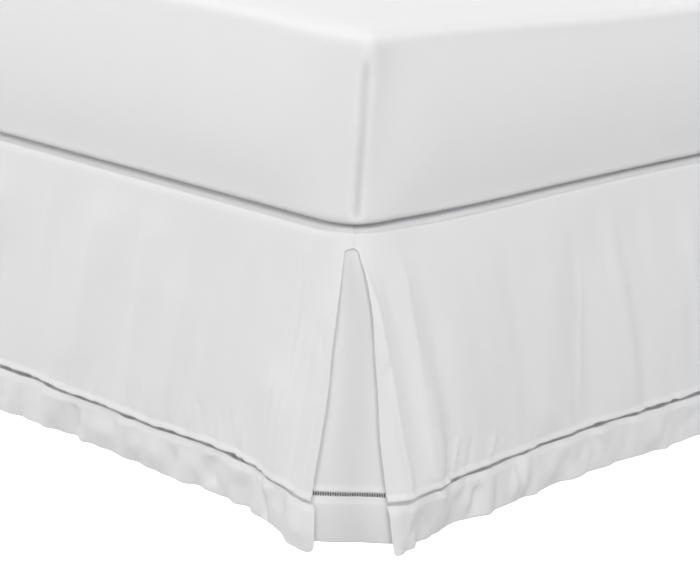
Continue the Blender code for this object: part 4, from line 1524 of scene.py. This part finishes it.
# A turned leg, from its felt glide to its collar under the base
Turning = namedtuple("Turning", "height radius")
GLIDE = Turning(0.0030, 0.0165)
LEG_SIDES = 40
LEG_TURNING = (
    Turning(0.0030, 0.0158),
    Turning(0.0044, 0.0174),
    Turning(0.0180, 0.0182),
    Turning(0.0480, 0.0200),
    Turning(0.0800, 0.0217),
    Turning(0.1080, 0.0228),
    Turning(0.1120, 0.0222),
    Turning(0.1132, 0.0208),
    Turning(0.1144, 0.0208),
    Turning(0.1156, 0.0228),
    Turning(0.1180, 0.0243),
    Turning(0.1210, 0.0248),
    Turning(0.1240, 0.0243),
    Turning(0.1264, 0.0228),
    Turning(0.1276, 0.0214),
    Turning(0.1290, 0.0214),
    Turning(0.1310, 0.0232),
    Turning(0.1350, 0.0244),
    Turning(0.1430, 0.0247),
    Turning(0.1482, 0.0247),
    Turning(0.1497, 0.0236),
)
LEG_NODES = (
    "leg_foot_left", "leg_foot_right",
    "leg_middle_left", "leg_middle_right",
    "leg_head_left", "leg_head_right",
)


def build_leg(finishes):
    """One leg over the middle of the floor: a felt glide, and an oak leg turned up from it."""
    bpy.ops.object.select_all(action="DESELECT")
    bpy.ops.mesh.primitive_cylinder_add(
        vertices=LEG_SIDES, radius=GLIDE.radius, depth=GLIDE.height, location=(0.0, 0.0, GLIDE.height / 2)
    )
    leg = bpy.context.object
    bpy.ops.object.transform_apply(location=True, rotation=True, scale=True)
    leg.data.materials.append(finishes["oak"])
    leg.data.materials.append(finishes["felt"])
    bpy.ops.object.mode_set(mode="EDIT")
    select_only(leg, "FACE", lambda face: face.normal.z > LEVEL_FACE)
    last = GLIDE
    for turning in LEG_TURNING:
        bpy.ops.mesh.extrude_region_move(
            TRANSFORM_OT_translate={"value": (0.0, 0.0, turning.height - last.height)}
        )
        grown = turning.radius / last.radius
        bpy.ops.transform.resize(value=(grown, grown, 1.0), center_override=(0.0, 0.0, turning.height))
        last = turning
    select_only(leg, "FACE", lambda face: face.calc_center_median().z < GLIDE.height + TOUCHING)
    leg.active_material_index = 1
    bpy.ops.object.material_slot_assign()
    bpy.ops.object.mode_set(mode="OBJECT")
    bpy.ops.object.shade_smooth_by_angle(angle=SHARP_ANGLE)
    return leg


def build_legs(finishes):
    pattern = build_leg(finishes)
    for node in LEG_NODES:
        low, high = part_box(node)
        leg = pattern.copy()
        leg.data = pattern.data.copy()
        leg.name = node.replace("leg_", "turned_leg_")
        leg.data.transform(Matrix.Translation(((low[0] + high[0]) / 2, (low[1] + high[1]) / 2, 0.0)))
        bpy.context.scene.collection.objects.link(leg)
        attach(leg, "root")
        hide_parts(node)
    bpy.data.objects.remove(pattern)


# ---------------------------------------------------------------- put together


def build_skirt(finishes):
    right_corner = (SIDE_FACE_X, FOOT_FACE_Y)
    left_corner = (-SIDE_FACE_X, FOOT_FACE_Y)
    quarter = math.pi / 2
    side = side_drop_panel()
    foot = foot_drop_panel()
    right_inset = inset_panel(FOOT_RIGHT, SIDE, RIGHT_INSET_SEED)
    left_inset = inset_panel(SIDE, FOOT_LEFT, LEFT_INSET_SEED)
    made = (
        ("foot_drop", "drop_foot", foot, right_corner, 2 * quarter, 1, "drop"),
        ("right_drop", "drop_side_right", side, right_corner, -quarter, -1, "drop"),
        ("left_drop", "drop_side_left", side, left_corner, quarter, 1, "drop"),
        ("right_inset", "corner_inset_right", right_inset, right_corner, 2 * quarter, 1, "inset"),
        ("left_inset", "corner_inset_left", left_inset, left_corner, quarter, 1, "inset"),
    )
    for name, node, panel, corner, turn, hand, finish in made:
        cloth, points = sewn_panel(f"{name}_cloth", panel, corner, turn, finishes[finish], hand)
        stoutness = INSET_STOUTNESS if finish == "inset" else 1.0
        stitching = hemstitching(f"{name}_hemstitch", panel, points, finishes["thread"], stoutness)
        for piece in (cloth, stitching):
            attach(piece, "root")
        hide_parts(node)


FLOOR_SIZE = 60.0
FLOOR_COLOUR = (0.97, 0.97, 0.97, 1.0)
FLOOR_ROUGHNESS = 0.9
FLOOR_GLOW = 1.30
FOOTPRINT_SHARPNESS = 50.0
BOUNCE_Z = -0.0005
BOUNCE_COLOUR = (0.28, 0.28, 0.28, 1.0)
WORLD_COLOUR = (1.0, 1.0, 1.0, 1.0)
WORLD_GLOW = 0.10
VIEW_REACH = 100.0
Lamp = namedtuple("Lamp", "name place aim size power")
LAMPS = (
    Lamp("front_softbox", (4.4, -4.6, 3.2), (0.7, -0.9, 0.3), 1.6, 205.0),
    Lamp("left_softbox", (-4.5, -2.6, 2.6), (0.0, -1.0, 0.3), 2.0, 98.0),
    Lamp("left_front_softbox", (-1.5, -6.5, 1.8), (-0.2, -1.0, 0.3), 2.4, 88.0),
    Lamp("overhead_softbox", (-0.3, 0.3, 4.6), (0.0, -0.2, 0.6), 1.6, 93.0),
    Lamp("right_far_softbox", (6.5, 1.5, 3.0), (0.8, -0.3, 0.3), 2.4, 116.0),
    Lamp("right_rear_softbox", (1.7, 2.6, 2.2), (0.76, -0.5, 0.2), 1.0, 10.0),
)


def studio_plane(name, height, finish):
    bpy.ops.object.select_all(action="DESELECT")
    bpy.ops.mesh.primitive_plane_add(size=FLOOR_SIZE, location=(0.0, 0.0, height))
    plane = bpy.context.object
    plane.name = name
    plane.data.materials.append(finish.material)
    return plane


def clear_of_bed(finish):
    """From 0 on the floor under the bed to 1 beside it."""
    place = finish.node("ShaderNodeSeparateXYZ", {}, {"Vector": finish.object_place()})
    beside = Field(finish, place.outputs[0]).math("ABSOLUTE") - (SIDE_FACE_X - CORNER_RADIUS)
    before = (Field(finish, place.outputs[1]) - (base_low[1] + base_high[1]) / 2).math("ABSOLUTE")
    before = before - (BED_LENGTH / 2 - CORNER_RADIUS)
    clear = beside.math("MAXIMUM", before) * FOOTPRINT_SHARPNESS
    return clear.math("MAXIMUM", 0.0).math("MINIMUM", 1.0)


def build_stage():
    """A plain pale floor, soft studio light and the camera."""
    pale = Finish("studio_floor", FLOOR_ROUGHNESS)
    pale.shader.inputs["Base Color"].default_value = FLOOR_COLOUR
    glow = pale.mix(clear_of_bed(pale), (0.0, 0.0, 0.0), (1.0, 1.0, 1.0))
    pale.join(glow, pale.shader.inputs["Emission Color"])
    pale.shader.inputs["Emission Strength"].default_value = FLOOR_GLOW
    floor = studio_plane("studio_floor", 0.0, pale)
    floor.visible_diffuse = False
    floor.visible_shadow = False

    soft = Finish("floor_bounce", 1.0)
    soft.shader.inputs["Base Color"].default_value = BOUNCE_COLOUR
    bounce = studio_plane("floor_bounce", BOUNCE_Z, soft)
    bounce.visible_camera = False

    scene = bpy.context.scene
    scene.view_settings.view_transform = "Standard"
    world = bpy.data.worlds.new("studio")
    world.use_nodes = True
    background = world.node_tree.nodes["Background"]
    background.inputs["Color"].default_value = WORLD_COLOUR
    background.inputs["Strength"].default_value = WORLD_GLOW
    scene.world = world
    for setup in LAMPS:
        light = bpy.data.lights.new(setup.name, "AREA")
        light.size = setup.size
        light.energy = setup.power
        lamp = bpy.data.objects.new(setup.name, light)
        lamp.location = setup.place
        lamp.rotation_euler = (Vector(setup.aim) - Vector(setup.place)).to_track_quat("-Z", "Y").to_euler()
        scene.collection.objects.link(lamp)

    view = bpy.data.cameras.new("camera")
    view.sensor_fit = "HORIZONTAL"
    view.sensor_width = SENSOR_WIDTH
    view.lens = FOCAL_PIXELS * SENSOR_WIDTH / PHOTO_WIDTH
    view.clip_end = VIEW_REACH
    camera = bpy.data.objects.new("camera", view)
    forward = Vector((
        -math.sin(CAMERA_AZIMUTH) * math.cos(CAMERA_PITCH),
        math.cos(CAMERA_AZIMUTH) * math.cos(CAMERA_PITCH),
        -math.sin(CAMERA_PITCH),
    ))
    level = Vector((math.cos(CAMERA_AZIMUTH), math.sin(CAMERA_AZIMUTH), 0.0))
    upright = level.cross(forward)
    right = level * math.cos(CAMERA_ROLL) + upright * math.sin(CAMERA_ROLL)
    up = upright * math.cos(CAMERA_ROLL) - level * math.sin(CAMERA_ROLL)
    turned = Matrix((right, up, -forward)).transposed()
    camera.matrix_world = Matrix.Translation(CAMERA_PLACE) @ turned.to_4x4()
    scene.collection.objects.link(camera)
    scene.camera = camera


build_stage()
finishes = make_finishes()
build_skirt(finishes)

mattress = build_mattress(finishes)
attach(mattress, "root")
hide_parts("mattress")

deck = build_deck(finishes)
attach(deck, "root")
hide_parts("skirt_deck")

base = build_base(finishes)
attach(base, "root")
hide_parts("bed_base")
build_legs(finishes)
